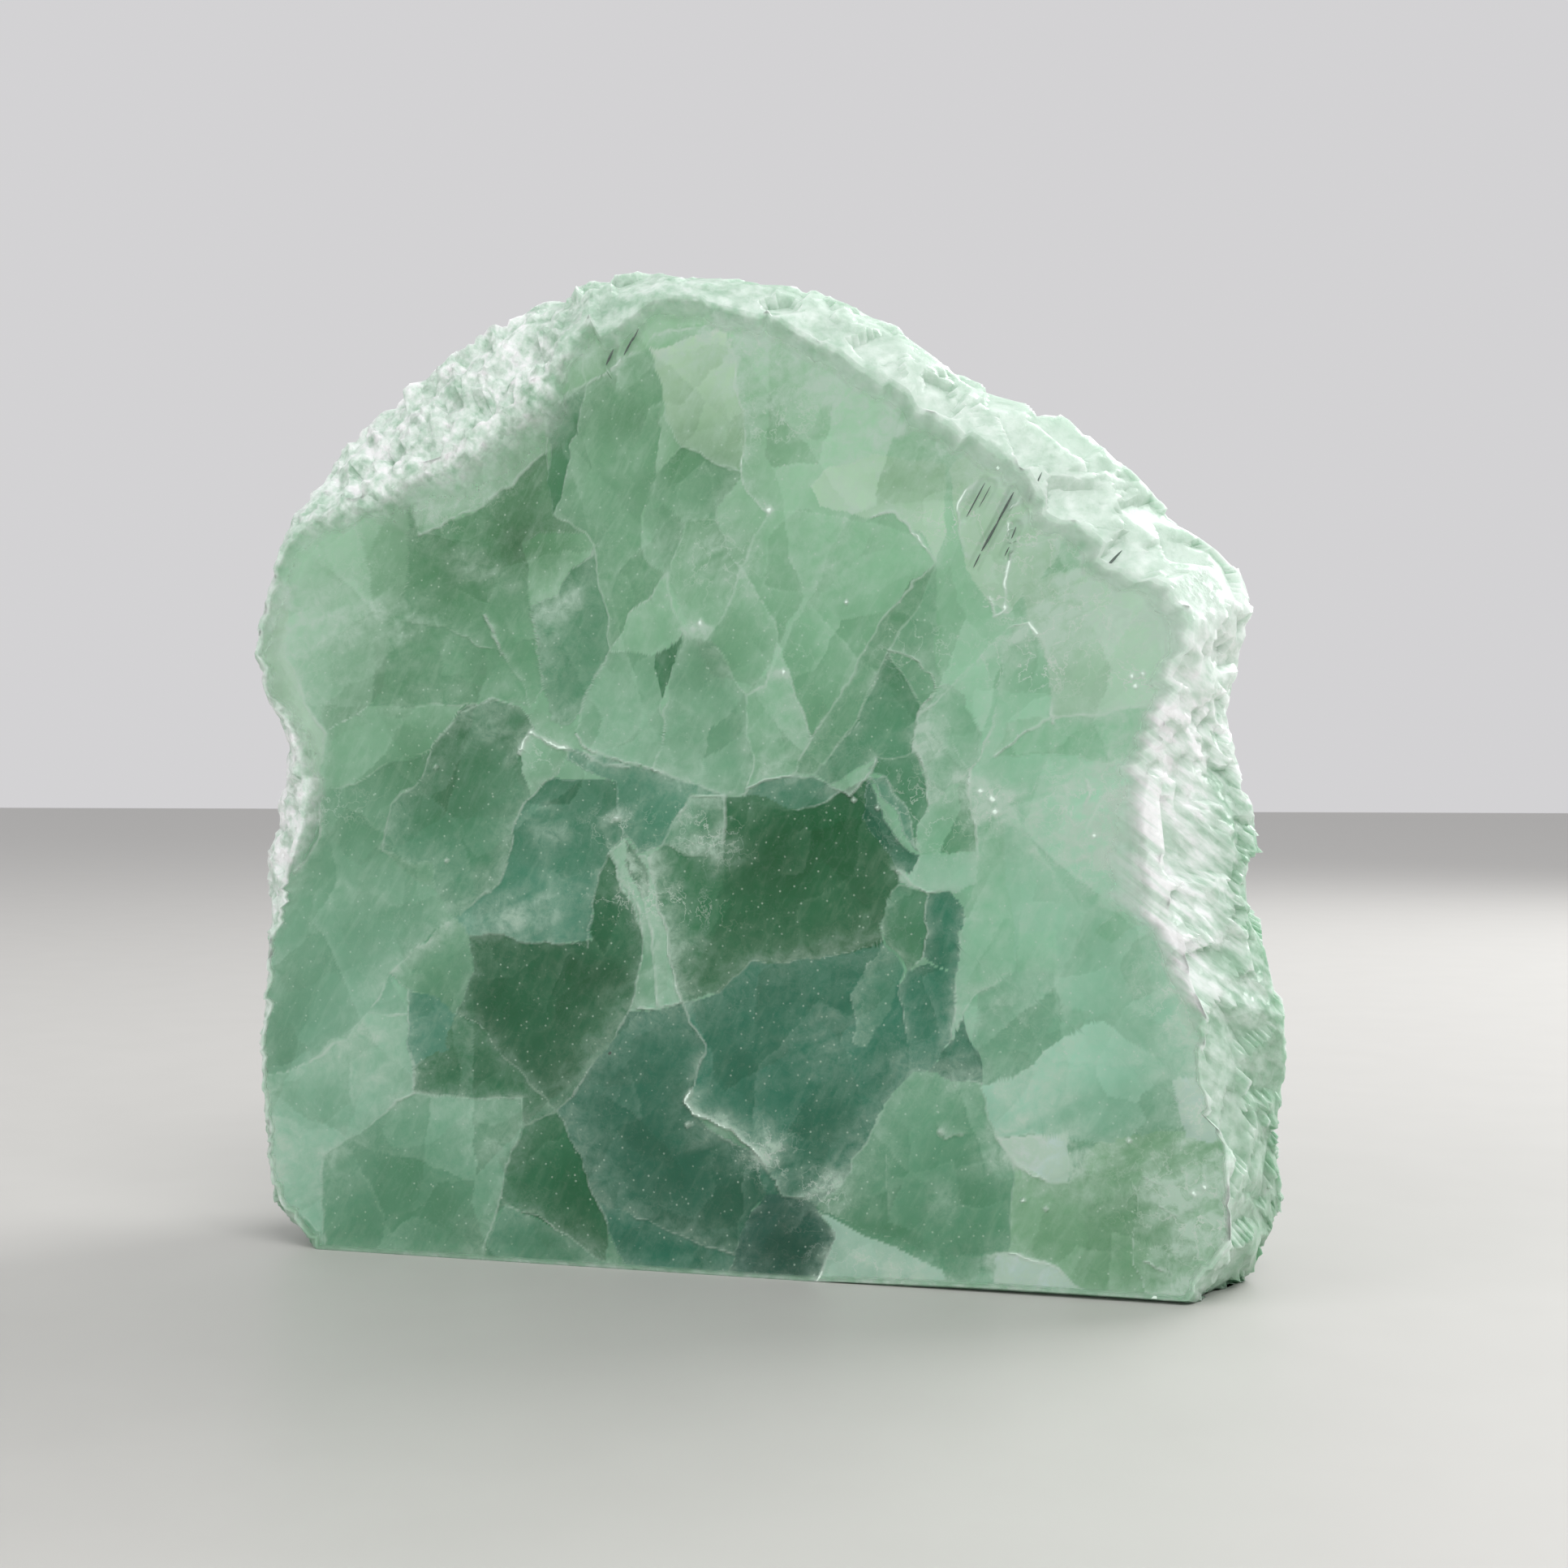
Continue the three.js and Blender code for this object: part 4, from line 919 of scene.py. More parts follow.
    ("right_floor", "shade", (120, 6, 0.4), (290, 0.2), [(16.6, 19), (18.2, 19.1),
        (20.2, 18.3), (22.9, 18.1), (23.9, 13.2), (25.5, 11.2), (24.8, 2.4), (23.7, 3.4),
        (18.4, 3.1), (9, 6), (8, 6.6), (9.6, 8.1), (11.2, 10.5), (12.6, 13.4), (14.7, 16.7)]),
    ("keel_pale", "milk", (100, 4, 0.35), (270, 0.3), [(8.5, 5.9), (9.5, 3.6), (8.3, 1.1),
        (7.4, -1.5), (19.8, -1.4), (19.1, 1.7), (14.1, 3.9)]),
    ("olive_floor", "olive", (120, 6, 0.35), (300, 0.1), [(25.5, 11.2), (28.3, 9.9),
        (30, 9.7), (32.4, 13.6), (35.8, 13.4), (37.8, 7.4), (37.2, -0.2), (32, 0.1), (29.3, 2.4),
        (26.2, 3.6), (24.8, 2.4)]),
    ("white_knot", "white", (100, 3, 0.5), (300, 0.2), [(23.9, 13.2), (26.2, 13.3),
        (29.6, 14), (30.3, 13.5), (30, 9.7), (28.3, 9.9), (25.5, 11.2)]),
    ("keel_sail", "white", (120, 3, 0.5), (300, 0.2), [(23.7, 3.4), (26.2, 3.6), (29.3, 2.4),
        (32, 0.5), (26.9, -0.9), (23.7, -0.4)]),
    ("clear_corner", "olive", (320, 14, 0.8), (300, 0.1), [(33.9, 14), (38.5, 14.6),
        (43.8, 14.5), (49.1, 12), (49.1, 5.3), (42.5, -0.5), (37.5, -0.9), (35.5, 3.1),
        (35.8, 8.6)]),
    ("olive_facet", "shade", (130, 2, 0.3), (0, 0.1), [(43.8, 6.9), (45.8, 7.8), (47.5, 6.5),
        (47.1, 4.8), (44.8, 2.7), (43.5, 3.6)]),
    ("white_block", "white", (90, 3, 0.7), (270, 0.1), [(38.8, 19), (42.5, 19.5), (44, 18.9),
        (43.6, 14.6), (41.8, 13.8), (40.2, 14.2), (39.2, 16.6)]),
]]
# Colour of each tone, how deep behind the face its floor lies in millimetres, and how
# milky it is.
TONES = {
    "abyss": ("#2F765F", 2.3, 0.15),
    "ink": ("#378665", 2.1, 0.15),
    "deep": ("#358657", 2.1, 0.15),
    "dark": ("#3C8C5B", 1.8, 0.2),
    "teal": ("#389170", 1.8, 0.25),
    "sea": ("#59A582", 1.6, 0.4),
    "dim": ("#65AA80", 1.6, 0.4),
    "shade": ("#7ABA8E", 1.4, 0.5),
    "olive": ("#96CA98", 1.3, 0.6),
    "mid": ("#90CAA4", 1.1, 0.7),
    "soft": ("#A2DAB4", 0.85, 0.9),
    "pale": ("#B2E3C3", 0.65, 1.0),
    "milk": ("#D0F1D8", 0.5, 1.0),
    "bright": ("#DAF6E0", 0.4, 1.0),
    "white": ("#EAF8EC", 0.35, 1.0),
}
print(len(GRAINS), "grains in", len(TONES), "tones")

# %% [markdown]
# The relief is one grid of points squeezed into the outline of the face: a square
# grid in two parameters from -1 to 1, whose outermost line lands on the face's edge.
# Near its edges it keeps the face's own outline, so no stairs show.

# %% Lay the grid inside the face
COLUMNS, ROWS = 516, 470
EDGE_GAP = 0.04


def face_grid():
    """x = middle + m * reach(angle) * cos(angle), and z alike with sin.

    m is the larger of |a| and |b|, so lines of equal m are nested squares, and reach
    is how far the face's edge lies from the middle in that direction.
    """
    a, b = np.meshgrid(np.linspace(-1, 1, COLUMNS + 1), np.linspace(-1, 1, ROWS + 1), indexing="ij")
    edge = face_edge[:, [0, 2]] - HEART[[0, 2]]
    edge_angle = np.arctan2(edge[:, 1], edge[:, 0])
    edge_reach = np.hypot(edge[:, 0], edge[:, 1]) - EDGE_GAP
    order = np.argsort(edge_angle)
    half_width, half_height = np.abs(edge).max(axis=0)
    angle = np.arctan2(b * half_height, a * half_width)
    reach = np.interp(angle, edge_angle[order], edge_reach[order], period=2 * math.pi)
    m = np.maximum(np.abs(a), np.abs(b))
    room = (1 - m) * reach
    x = HEART[0] + m * reach * np.cos(angle)
    z = np.maximum(HEART[2] + m * reach * np.sin(angle), EDGE_GAP)
    return x, z, room


grid_x, grid_z, rim_room = face_grid()
print("grid spacing about", round(float(np.ptp(grid_x)) / COLUMNS, 2), "mm")

# %% [markdown]
# Noise on a lattice gives the cracks their ragged course and the grains their clouds.
# It is worked out for all points at once: hash the four lattice corners round each
# point and blend them smoothly.

# %% Lattice noise
def lattice_chance(column, row, seed):
    """A repeatable share from 0 to 1 for each crossing: the fraction of a large sine."""
    wave = np.sin(column * 127.1 + row * 311.7 + seed * 74.7)
    return np.modf(np.abs(wave) * 43758.5453)[0]


def cloud(x, z, size, seed):
    """Smooth value noise from 0 to 1 with cells of the given size in millimetres."""
    x, z = x / size, z / size
    column, row = np.floor(x), np.floor(z)
    along, up = x - column, z - row
    along, up = along * along * (3 - 2 * along), up * up * (3 - 2 * up)

    low, high = (lattice_chance(column, row + step, seed) * (1 - along)
                 + lattice_chance(column + 1, row + step, seed) * along for step in (0, 1))
    return low * (1 - up) + high * up


def layered(x, z, size, seed, layers=4):
    """Sum of clouds, each half the size and half the strength, scaled to 0 to 1."""
    total = sum(cloud(x, z, size / 2 ** n, seed + n) / 2 ** n for n in range(layers))
    return total / (2 - 2 ** (1 - layers))


# %% [markdown]
# The older fractures lie deeper and cross each other. They are worked out as three
# layers of shards, from 15 mm down to 4 mm: every point belongs to its nearest shard
# middle, and the gap to the second nearest tells how far the shard's border is.

# %% Shards of the older fractures
Shards = namedtuple("Shards", "size stretch lean tone_swing veil seed")
SHARDS = [
    Shards(15.0, 1.7, 70.0, 0.30, 0.34, 5),
    Shards(8.0, 2.0, 115.0, 0.26, 0.30, 6),
    Shards(4.0, 1.6, 40.0, 0.20, 0.22, 9),
]


def shard_layer(x, z, shards):
    """Tone from -1 to 1 and veil from 0 to 1 of one layer of stretched shards.

    Middles sit on a jittered lattice in a frame turned by the lean and squeezed by the
    stretch. Each shard has its own tone plus a ramp across it, and the veil falls off
    with distance from the border on the side that the shard's ramp rises to.
    """
    turn = math.radians(shards.lean)
    u = (x * math.cos(turn) + z * math.sin(turn)) / (shards.size * shards.stretch)
    v = (z * math.cos(turn) - x * math.sin(turn)) / shards.size
    column, row = np.floor(u), np.floor(v)
    first = np.full(x.shape, 9.0)
    second = np.full(x.shape, 9.0)
    own = np.zeros(x.shape)
    ramp = np.zeros(x.shape)

    for i in (-1, 0, 1):
        for j in (-1, 0, 1):
            lots = [lattice_chance(column + i, row + j, shards.seed + salt) for salt in (1, 2, 3, 4)]
            du = column + i + lots[0] - u
            dv = row + j + lots[1] - v
            distance = np.hypot(du, dv)
            closer = distance < first
            second = np.where(closer, first, np.minimum(second, distance))
            first = np.where(closer, distance, first)
            own = np.where(closer, lots[2], own)
            heading = lots[3] * 2 * math.pi
            ramp = np.where(closer, -(du * np.cos(heading) + dv * np.sin(heading)), ramp)
    border = (second - first) * shards.size / 2
    veil_side = np.clip(0.5 + 1.5 * ramp, 0, 1)
    edge_veil = np.exp(-border / (0.05 * shards.size + 0.15)) * veil_side * (own > 0.35)
    return (own - 0.5) * 1.4 + ramp, edge_veil


# %% [markdown]
# The youngest cracks cut through everything. They are the brightest lines on the
# face, each a ragged path with a veil that fades away on one side. Where many tiny
# ones crowd together they look like a white haze or a bright glow.

# %% The young cracks and the hazes
# A path on the face in mm, its width, its strength, and how far its veil fades: to the
# left of the path where positive, to the right where negative.
LINE_SHARE = 0.55
# Farther than any point of the face, in millimetres.
FAR = 99.0
Crack = namedtuple("Crack", "name width strength fade path")
CRACKS = [Crack(*row) for row in [
    ("main_seam", 0.22, 0.75, 1.6, [(-1.1, 85.3), (-0.3, 84.5), (0.4, 80.8), (1, 76.8),
        (1.3, 73.2), (1, 71.6), (1.9, 69.9), (3.1, 68.2), (3.6, 67.9)]),
    ("seam_return", 0.16, 0.55, 1.2, [(3.6, 67.9), (2.7, 66.3), (1.7, 64.5), (1, 63.1),
        (0.4, 61.3), (-0.5, 59.5), (-0.8, 58.5)]),
    ("heart_rim", 0.18, 0.5, -1.5, [(4.3, 58.4), (4.3, 56.9), (3.8, 54.8), (3.1, 52.6),
        (1.4, 51.7)]),
    ("valley_line", 0.24, 0.8, 1.2, [(-14.4, 48.4), (-13.8, 47.4), (-11.4, 46.2),
        (-8.3, 45.7), (-7.2, 45.2), (-3.7, 43.8), (-0.3, 42.9), (1.4, 42.9), (1.9, 43.6),
        (3.1, 44.2), (5.8, 44.7), (7.5, 44.5), (9, 43.5), (11.2, 43), (12.5, 44.2),
        (13.4, 45.7)]),
    ("ridge_line", 0.2, 0.6, -1.4, [(-27.5, 48.9), (-25.7, 50.7), (-22.9, 51.9),
        (-20.1, 50.8), (-18.7, 48.9), (-15.2, 47.1), (-11.8, 45.6), (-9.5, 45.4)]),
    ("left_arch", 0.2, 0.55, 1.5, [(-27.5, 48.9), (-28.7, 47), (-29.4, 45.5), (-29.9, 44.4),
        (-31.4, 43.2), (-33.1, 42.1)]),
    ("panel_arch", 0.2, 0.65, -2.6, [(-16.8, 44.6), (-18.1, 43.6), (-19.7, 41.7),
        (-20.7, 39.9), (-21, 37.6), (-22.2, 35), (-24.1, 33.3), (-26.8, 31.6), (-29.4, 29.6),
        (-31.4, 27.6), (-33.2, 26.2), (-35.1, 22.2)]),
    ("pool_top", 0.18, 0.5, 1, [(-25.3, 30), (-21.7, 29.7), (-16.9, 29.2), (-13.9, 29.2),
        (-12.8, 33.3), (-12.6, 35.5), (-11.6, 37.6)]),
    ("blade_left", 0.2, 0.6, -1, [(-10.4, 34.8), (-9.5, 33.3), (-8.3, 30.4), (-8.5, 28.2),
        (-8.9, 25.7), (-9.6, 23.2)]),
    ("blade_right", 0.3, 1.3, 1.5, [(-7.8, 37.4), (-6.8, 34.1), (-5.9, 30.1), (-5.1, 26.8),
        (-4.6, 24.2)]),
    ("pool_shoreline", 0.2, 0.6, -2.2, [(-8.7, 23.6), (-9.6, 23.2), (-11.3, 20.1),
        (-12.2, 19.1), (-13.9, 17), (-16.7, 13.8), (-19.7, 12.5), (-20.9, 10.1), (-21.7, 7.8),
        (-22.9, 3.2), (-23.9, 0.2)]),
    ("pool_slash", 0.14, 0.45, 0.8, [(-26.1, 22.8), (-24.1, 21.5), (-22.3, 19.5),
        (-20.1, 17.2), (-16.7, 13.8)]),
    ("shore_curve", 0.22, 0.6, -1.4, [(-4.6, 24.2), (-3.9, 22.9), (-2.4, 20.5), (-2.8, 18.9),
        (-3.3, 17.1), (-3.7, 16.3)]),
    ("thick_seam", 0.45, 1, 1, [(-3.7, 16.3), (-4, 15.4), (-3.5, 14.2), (-1.1, 13.2),
        (0.1, 12.9), (1.9, 11.5), (3.4, 9.8), (4.9, 7.1), (6.8, 7.1), (8, 6.6)]),
    ("keel_seam", 0.36, 0.95, -0.6, [(8, 6.6), (8.5, 5.9), (9.5, 3.6), (8.3, 1.1),
        (7.9, -0.4)]),
    ("right_shore", 0.2, 0.6, 2.4, [(8, 6.6), (9.6, 8.1), (11.2, 10.5), (12.6, 13.4),
        (13.9, 14.9), (14.7, 16.7), (16.6, 19), (18.2, 19.1), (20.2, 18.3), (22.9, 18.1)]),
    ("second_shore", 0.16, 0.5, 2, [(-4.6, 24.2), (-2.2, 24.4), (-1.1, 25.1), (0.1, 26.6),
        (2.3, 28), (5.3, 28.1), (9, 28.8), (12.6, 29.8), (13.7, 30.3)]),
    ("lower_veil", 0.2, 0.55, 1.6, [(-14.7, 11.1), (-14, 8.9), (-12.7, 6), (-11.4, 5.4),
        (-7.6, 4.5), (-3, 2.6), (0.1, 1.8)]),
    ("sail_edge", 0.22, 0.6, 1.2, [(-21.7, 5), (-18.5, 4.2), (-16.1, 2.9), (-12.2, 0.5),
        (-9.5, -0.5)]),
    ("keel_left", 0.14, 0.4, 0.8, [(2.3, 6.3), (1.9, 6.1), (0.4, 1.7), (-0.3, 0)]),
    ("lintel_line", 0.3, 0.8, 1.2, [(15, 36.2), (17.7, 34.6), (20, 34.6), (22.2, 35.2),
        (22.2, 37.9)]),
    ("chip_line_1", 0.2, 0.6, 0.8, [(17.7, 34.4), (17.8, 31.3), (17.1, 28.7), (16, 27.6),
        (15.3, 25.2), (16.1, 21.4), (16.6, 19)]),
    ("chip_line_2", 0.2, 0.6, -0.8, [(20.9, 33.1), (20.8, 31), (20.2, 27.6), (20.2, 23.9),
        (20, 21.8), (18.2, 19.1)]),
    ("chip_line_3", 0.16, 0.5, 0.8, [(20.2, 21.5), (20.9, 24), (22.3, 25.8), (25.1, 27.6)]),
    ("gate_edge", 0.3, 0.8, 1.5, [(21.7, 45.4), (21.7, 41.5), (22.2, 37.9)]),
    ("fin_left", 0.16, 0.5, 1, [(14.4, 55.9), (12.6, 52.5), (11.9, 49.3), (9.7, 46.8),
        (7.5, 44.7)]),
    ("tooth_right", 0.2, 0.6, 1.2, [(18.4, 63.1), (16.3, 60.9), (14.2, 59.2), (13, 57.1),
        (11.5, 53.6), (9.4, 50.8), (7.6, 48.1), (6.4, 46.1), (5.8, 45)]),
    ("fin_right", 0.26, 0.75, 1.6, [(14.4, 55.9), (15.7, 55.6), (17, 54.8), (18, 53.5),
        (18.4, 52.1), (17.3, 50.7), (16.5, 48.6), (16.8, 46.8), (17.7, 45), (18, 42.6)]),
    ("panel_line_1", 0.2, 0.65, -1, [(19.5, 49.9), (20.5, 46.8), (21.5, 45.2)]),
    ("panel_line_2", 0.22, 0.7, 1.2, [(24.4, 55.5), (24.6, 53.4), (23.4, 49.2), (22.7, 47.1),
        (21.5, 45.2)]),
    ("needle_crack_1", 0.26, 1, 0.6, [(24.8, 66.5), (25.1, 63.8), (25, 62.1), (24.5, 60),
        (24.4, 59), (23.5, 58.4)]),
    ("needle_crack_2", 0.26, 1, 0.6, [(23.9, 70.2), (22.2, 70), (21.1, 69.2), (20.8, 67.8),
        (20.8, 64.1), (21.4, 63.7)]),
    ("needle_bar_1", 0.2, 0.95, 0.5, [(25.2, 67.8), (27.9, 68.5), (31, 68.4)]),
    ("needle_bar_2", 0.18, 0.9, 0.5, [(24.8, 65.8), (27.2, 66.6), (30.2, 66.5)]),
    ("needle_bar_3", 0.18, 0.9, -0.5, [(25.3, 64.7), (28.3, 64.6), (30.7, 65.4)]),
    ("needle_bar_4", 0.2, 0.9, 0.5, [(26.9, 70.1), (28.9, 70.5), (30.5, 69.5)]),
    ("needle_crack_3", 0.22, 0.9, 0.5, [(23.2, 60.1), (23.6, 58.4)]),
    ("shelf_line", 0.2, 0.8, -1, [(16.8, 49.7), (19.8, 52.1), (21.6, 54.5), (24.2, 56.8),
        (26.9, 58.1)]),
    ("shelf_wedge", 0.3, 1, 1.4, [(26.9, 57.9), (27.9, 56.1), (28.5, 53.3), (28.9, 49.5)]),
    ("shelf_wave", 0.26, 0.75, 1.6, [(23.7, 46.1), (26.2, 48.1), (28.9, 49.9), (32, 49.8),
        (35.8, 50.3), (38.3, 50.8)]),
    ("white_shore", 0.3, 0.7, -2.5, [(38.5, 50.8), (39.2, 49.1), (40.8, 48.1)]),
    ("right_line", 0.2, 0.55, 1.2, [(36.7, 64), (37, 62.1), (37.8, 58.7), (38.3, 53.2),
        (38.5, 48.4), (37.8, 41.6), (37.4, 39.2), (37.8, 37.5)]),
    ("glow_arc_1", 0.4, 0.85, 0.8, [(29.6, 43.5), (30.1, 42.2), (29.8, 41)]),
    ("glow_arc_2", 0.35, 0.8, 0.8, [(31.4, 44.2), (31.8, 43.1), (31.6, 42.1)]),
    ("glow_arc_3", 0.3, 0.75, 0.8, [(33.2, 42.6), (32.4, 41), (31.4, 39.8)]),
    ("upper_step_line", 0.2, 0.55, 1, [(7.5, 70.1), (9, 71.6), (10.5, 72), (11.8, 72.4),
        (13, 72.7)]),
    ("upper_crack", 0.24, 0.9, 0.8, [(12.6, 67.1), (14.1, 67.9), (15.2, 67.8), (16.6, 66.2),
        (18.4, 63.1)]),
    ("cube_line", 0.16, 0.5, 0.8, [(3.4, 77.1), (5.7, 75.9), (7.5, 74.5), (9.4, 73.6),
        (8.8, 72.2)]),
    ("under_crust_seam", 0.3, 0.8, -1.5, [(-17.3, 78.1), (-16.5, 78.8), (-15.3, 79.5),
        (-13.6, 80.3), (-13, 80.8), (-11.3, 81.7), (-9.9, 82.5), (-7.6, 83), (-6.9, 84.4),
        (-4.9, 84.6), (-3, 84.9), (-1.1, 85.6)]),
    ("tusk_left", 0.18, 0.55, 1, [(-13.8, 80.1), (-14.4, 77.6), (-14.9, 75), (-15.3, 73.2),
        (-16.1, 69.9), (-16.9, 68.4), (-15.3, 67.8), (-13.6, 66.7), (-12.8, 65.6), (-12.7, 63.5),
        (-12.6, 61.7), (-11.6, 59.1), (-11.3, 56.1), (-12, 54.6), (-13.4, 52.5), (-14.3, 50.6),
        (-14.5, 48.8)]),
    ("tooth_line_1", 0.18, 0.55, 1, [(-7.3, 82.9), (-7.2, 81.6), (-6.4, 78.7), (-5.8, 76.4),
        (-4.5, 74), (-2.6, 73.4), (-1.1, 72.5), (0.8, 72)]),
    ("tooth_line_2", 0.16, 0.5, 0.8, [(-6.6, 77.1), (-6.6, 75.7), (-7.1, 73.9), (-7.3, 70.7),
        (-7.8, 69.2), (-8.6, 66.7), (-8.3, 64.5), (-7.3, 63.6), (-5.8, 63.1)]),
    ("blade_line", 0.2, 0.6, 1.2, [(-5.8, 63.1), (-7.2, 61), (-9.5, 59.2), (-10, 57.6),
        (-11.3, 55.9), (-7.9, 55.5), (-6, 56.2), (-4.3, 57.7)]),
    ("cap_line", 0.2, 0.65, -1.5, [(-5.8, 63.1), (-5.4, 59.6), (-4.3, 58.2), (-3, 57.2),
        (-1.4, 57), (-0.7, 55.6), (0.4, 53), (1.4, 51.7), (1.8, 48.7), (2.2, 45.2), (1.4, 43)]),
    ("belly_left", 0.2, 0.6, 1, [(-4.3, 57.4), (-5.4, 53.5), (-6.4, 51.5), (-6.2, 49.8),
        (-6.8, 46.9), (-7.2, 45.3)]),
    ("table_line", 0.2, 0.6, 1.4, [(-39.3, 48.9), (-38.1, 49.7), (-35.6, 51.2)]),
    ("shoulder_seam", 0.34, 0.75, 1.4, [(-43.8, 61.7), (-43.7, 58.2), (-43.6, 55.9),
        (-42.5, 53.6), (-41.4, 50.9), (-39.7, 48.6), (-40.8, 43.2), (-40.2, 39), (-43.1, 35.3)]),
    ("shoulder_streak", 0.2, 0.45, 1.2, [(-33.5, 59.1), (-31, 58.9), (-28.2, 58.5),
        (-26.5, 57.9), (-22.9, 56.3)]),
    ("dusk_seam", 0.22, 0.65, 0.8, [(-30.2, 66.9), (-27.7, 67.9), (-25.7, 69), (-24.1, 69.2),
        (-22.5, 70.3), (-20.9, 71.5), (-17.5, 74.4)]),
    ("dusk_seam_2", 0.18, 0.5, 0.8, [(-31.4, 70.4), (-30.6, 67.8), (-30.2, 66.9)]),
    ("dusk_crack", 0.3, 0.7, 0.6, [(-23.7, 59.7), (-22.9, 58.2), (-22.1, 56.3), (-20.5, 54),
        (-19.7, 52.2), (-19.3, 50.9)]),
    ("corner_seam", 0.24, 0.7, 1.2, [(-41.4, 17.5), (-37.6, 20), (-36.4, 21.4),
        (-35.1, 22.2), (-31.4, 22.4)]),
    ("corner_seam_2", 0.26, 0.7, -1.6, [(-30.5, 15.3), (-32.3, 14.5), (-34.3, 12.9),
        (-36.4, 11.2), (-38.5, 9.6), (-39.7, 8.8), (-40.2, 7.6), (-39.6, 1.5)]),
    ("corner_upright", 0.18, 0.5, 1, [(-37.2, 19.2), (-37, 14.6), (-36.6, 11.6)]),
    ("chip_upright", 0.2, 0.6, 0.8, [(-31.4, 25.1), (-31.2, 21.7), (-31, 19.4),
        (-30.5, 15.3), (-25.3, 14.7), (-20.1, 15.3)]),
    ("left_diagonal", 0.16, 0.45, 1, [(-33.9, 37.5), (-31.4, 35.8), (-28.7, 34),
        (-26.8, 31.6), (-25.3, 30), (-24.5, 27.5), (-25.5, 25.2), (-26.5, 22.8)]),
    ("floor_upright", 0.2, 0.5, 0.8, [(13.9, 11.7), (14.1, 9.6), (14.3, 6.8)]),
    ("apron_edge", 0.34, 0.8, 2, [(23.9, 13.2), (25.5, 11.2), (26.9, 10.2), (28.3, 9.9)]),
    ("sail_edge_right", 0.3, 0.95, -1.5, [(23.7, 3.4), (26.2, 3.6), (29.3, 2.2), (32, 0.5),
        (28.3, -0.1), (24.8, 0.4)]),
    ("corner_ray_1", 0.2, 0.8, 1, [(36.5, 10.7), (38.5, 10), (41.2, 9.6)]),
    ("corner_ray_2", 0.2, 0.85, 0.8, [(37.5, 8.4), (39.5, 7.4), (40.8, 6.5)]),
    ("corner_ray_3", 0.3, 0.95, 1.2, [(36.7, 3.5), (38.5, 2.6), (40.2, 1.3)]),
    ("corner_ray_4", 0.3, 0.9, 0.8, [(41.2, 0.4), (42.5, 1.5), (44.5, 2.3)]),
    ("corner_rim", 0.4, 1, 0.8, [(37.2, -0.1), (39.5, 0.6), (42.5, 0.5), (45.5, 3),
        (48, 5.7), (47.5, 9.2), (46.5, 11.9)]),
    ("keel_bright", 0.3, 0.8, 1.2, [(10.5, 3), (13.4, 1.7), (17, 0.9), (19.1, -0)]),
    ("crescent", 0.3, 0.7, 0.8, [(-13.8, 46.9), (-11.8, 45.6), (-9.5, 45.4)]),
    ("lozenge_tip", 0.4, 1.3, 1.2, [(-20.1, 46.6), (-18.9, 48.7), (-16.9, 47.7),
        (-15.2, 46.9)]),
    ("blade_fibre", 0.3, 1.2, 1.2, [(-11.3, 37.7), (-10.3, 35.2), (-8.7, 32.6),
        (-8.3, 30.4)]),
    ("blade_fibre_2", 0.26, 1.1, 2, [(-9.7, 36.9), (-8.2, 33.4), (-7.3, 30.4),
        (-6.9, 24.2)]),
    ("blade_foot", 0.24, 0.9, 1.4, [(-8.7, 23.6), (-6.6, 24), (-4.8, 24.2)]),
    ("bird", 0.5, 1.6, 0.5, [(19.1, 13.7), (19.5, 12.8), (20.8, 13.2)]),
    ("gate_white", 0.3, 1.1, -1.6, [(-4.9, 41.1), (-3.7, 42.7), (-0.5, 42.8), (-0.5, 38)]),
]]
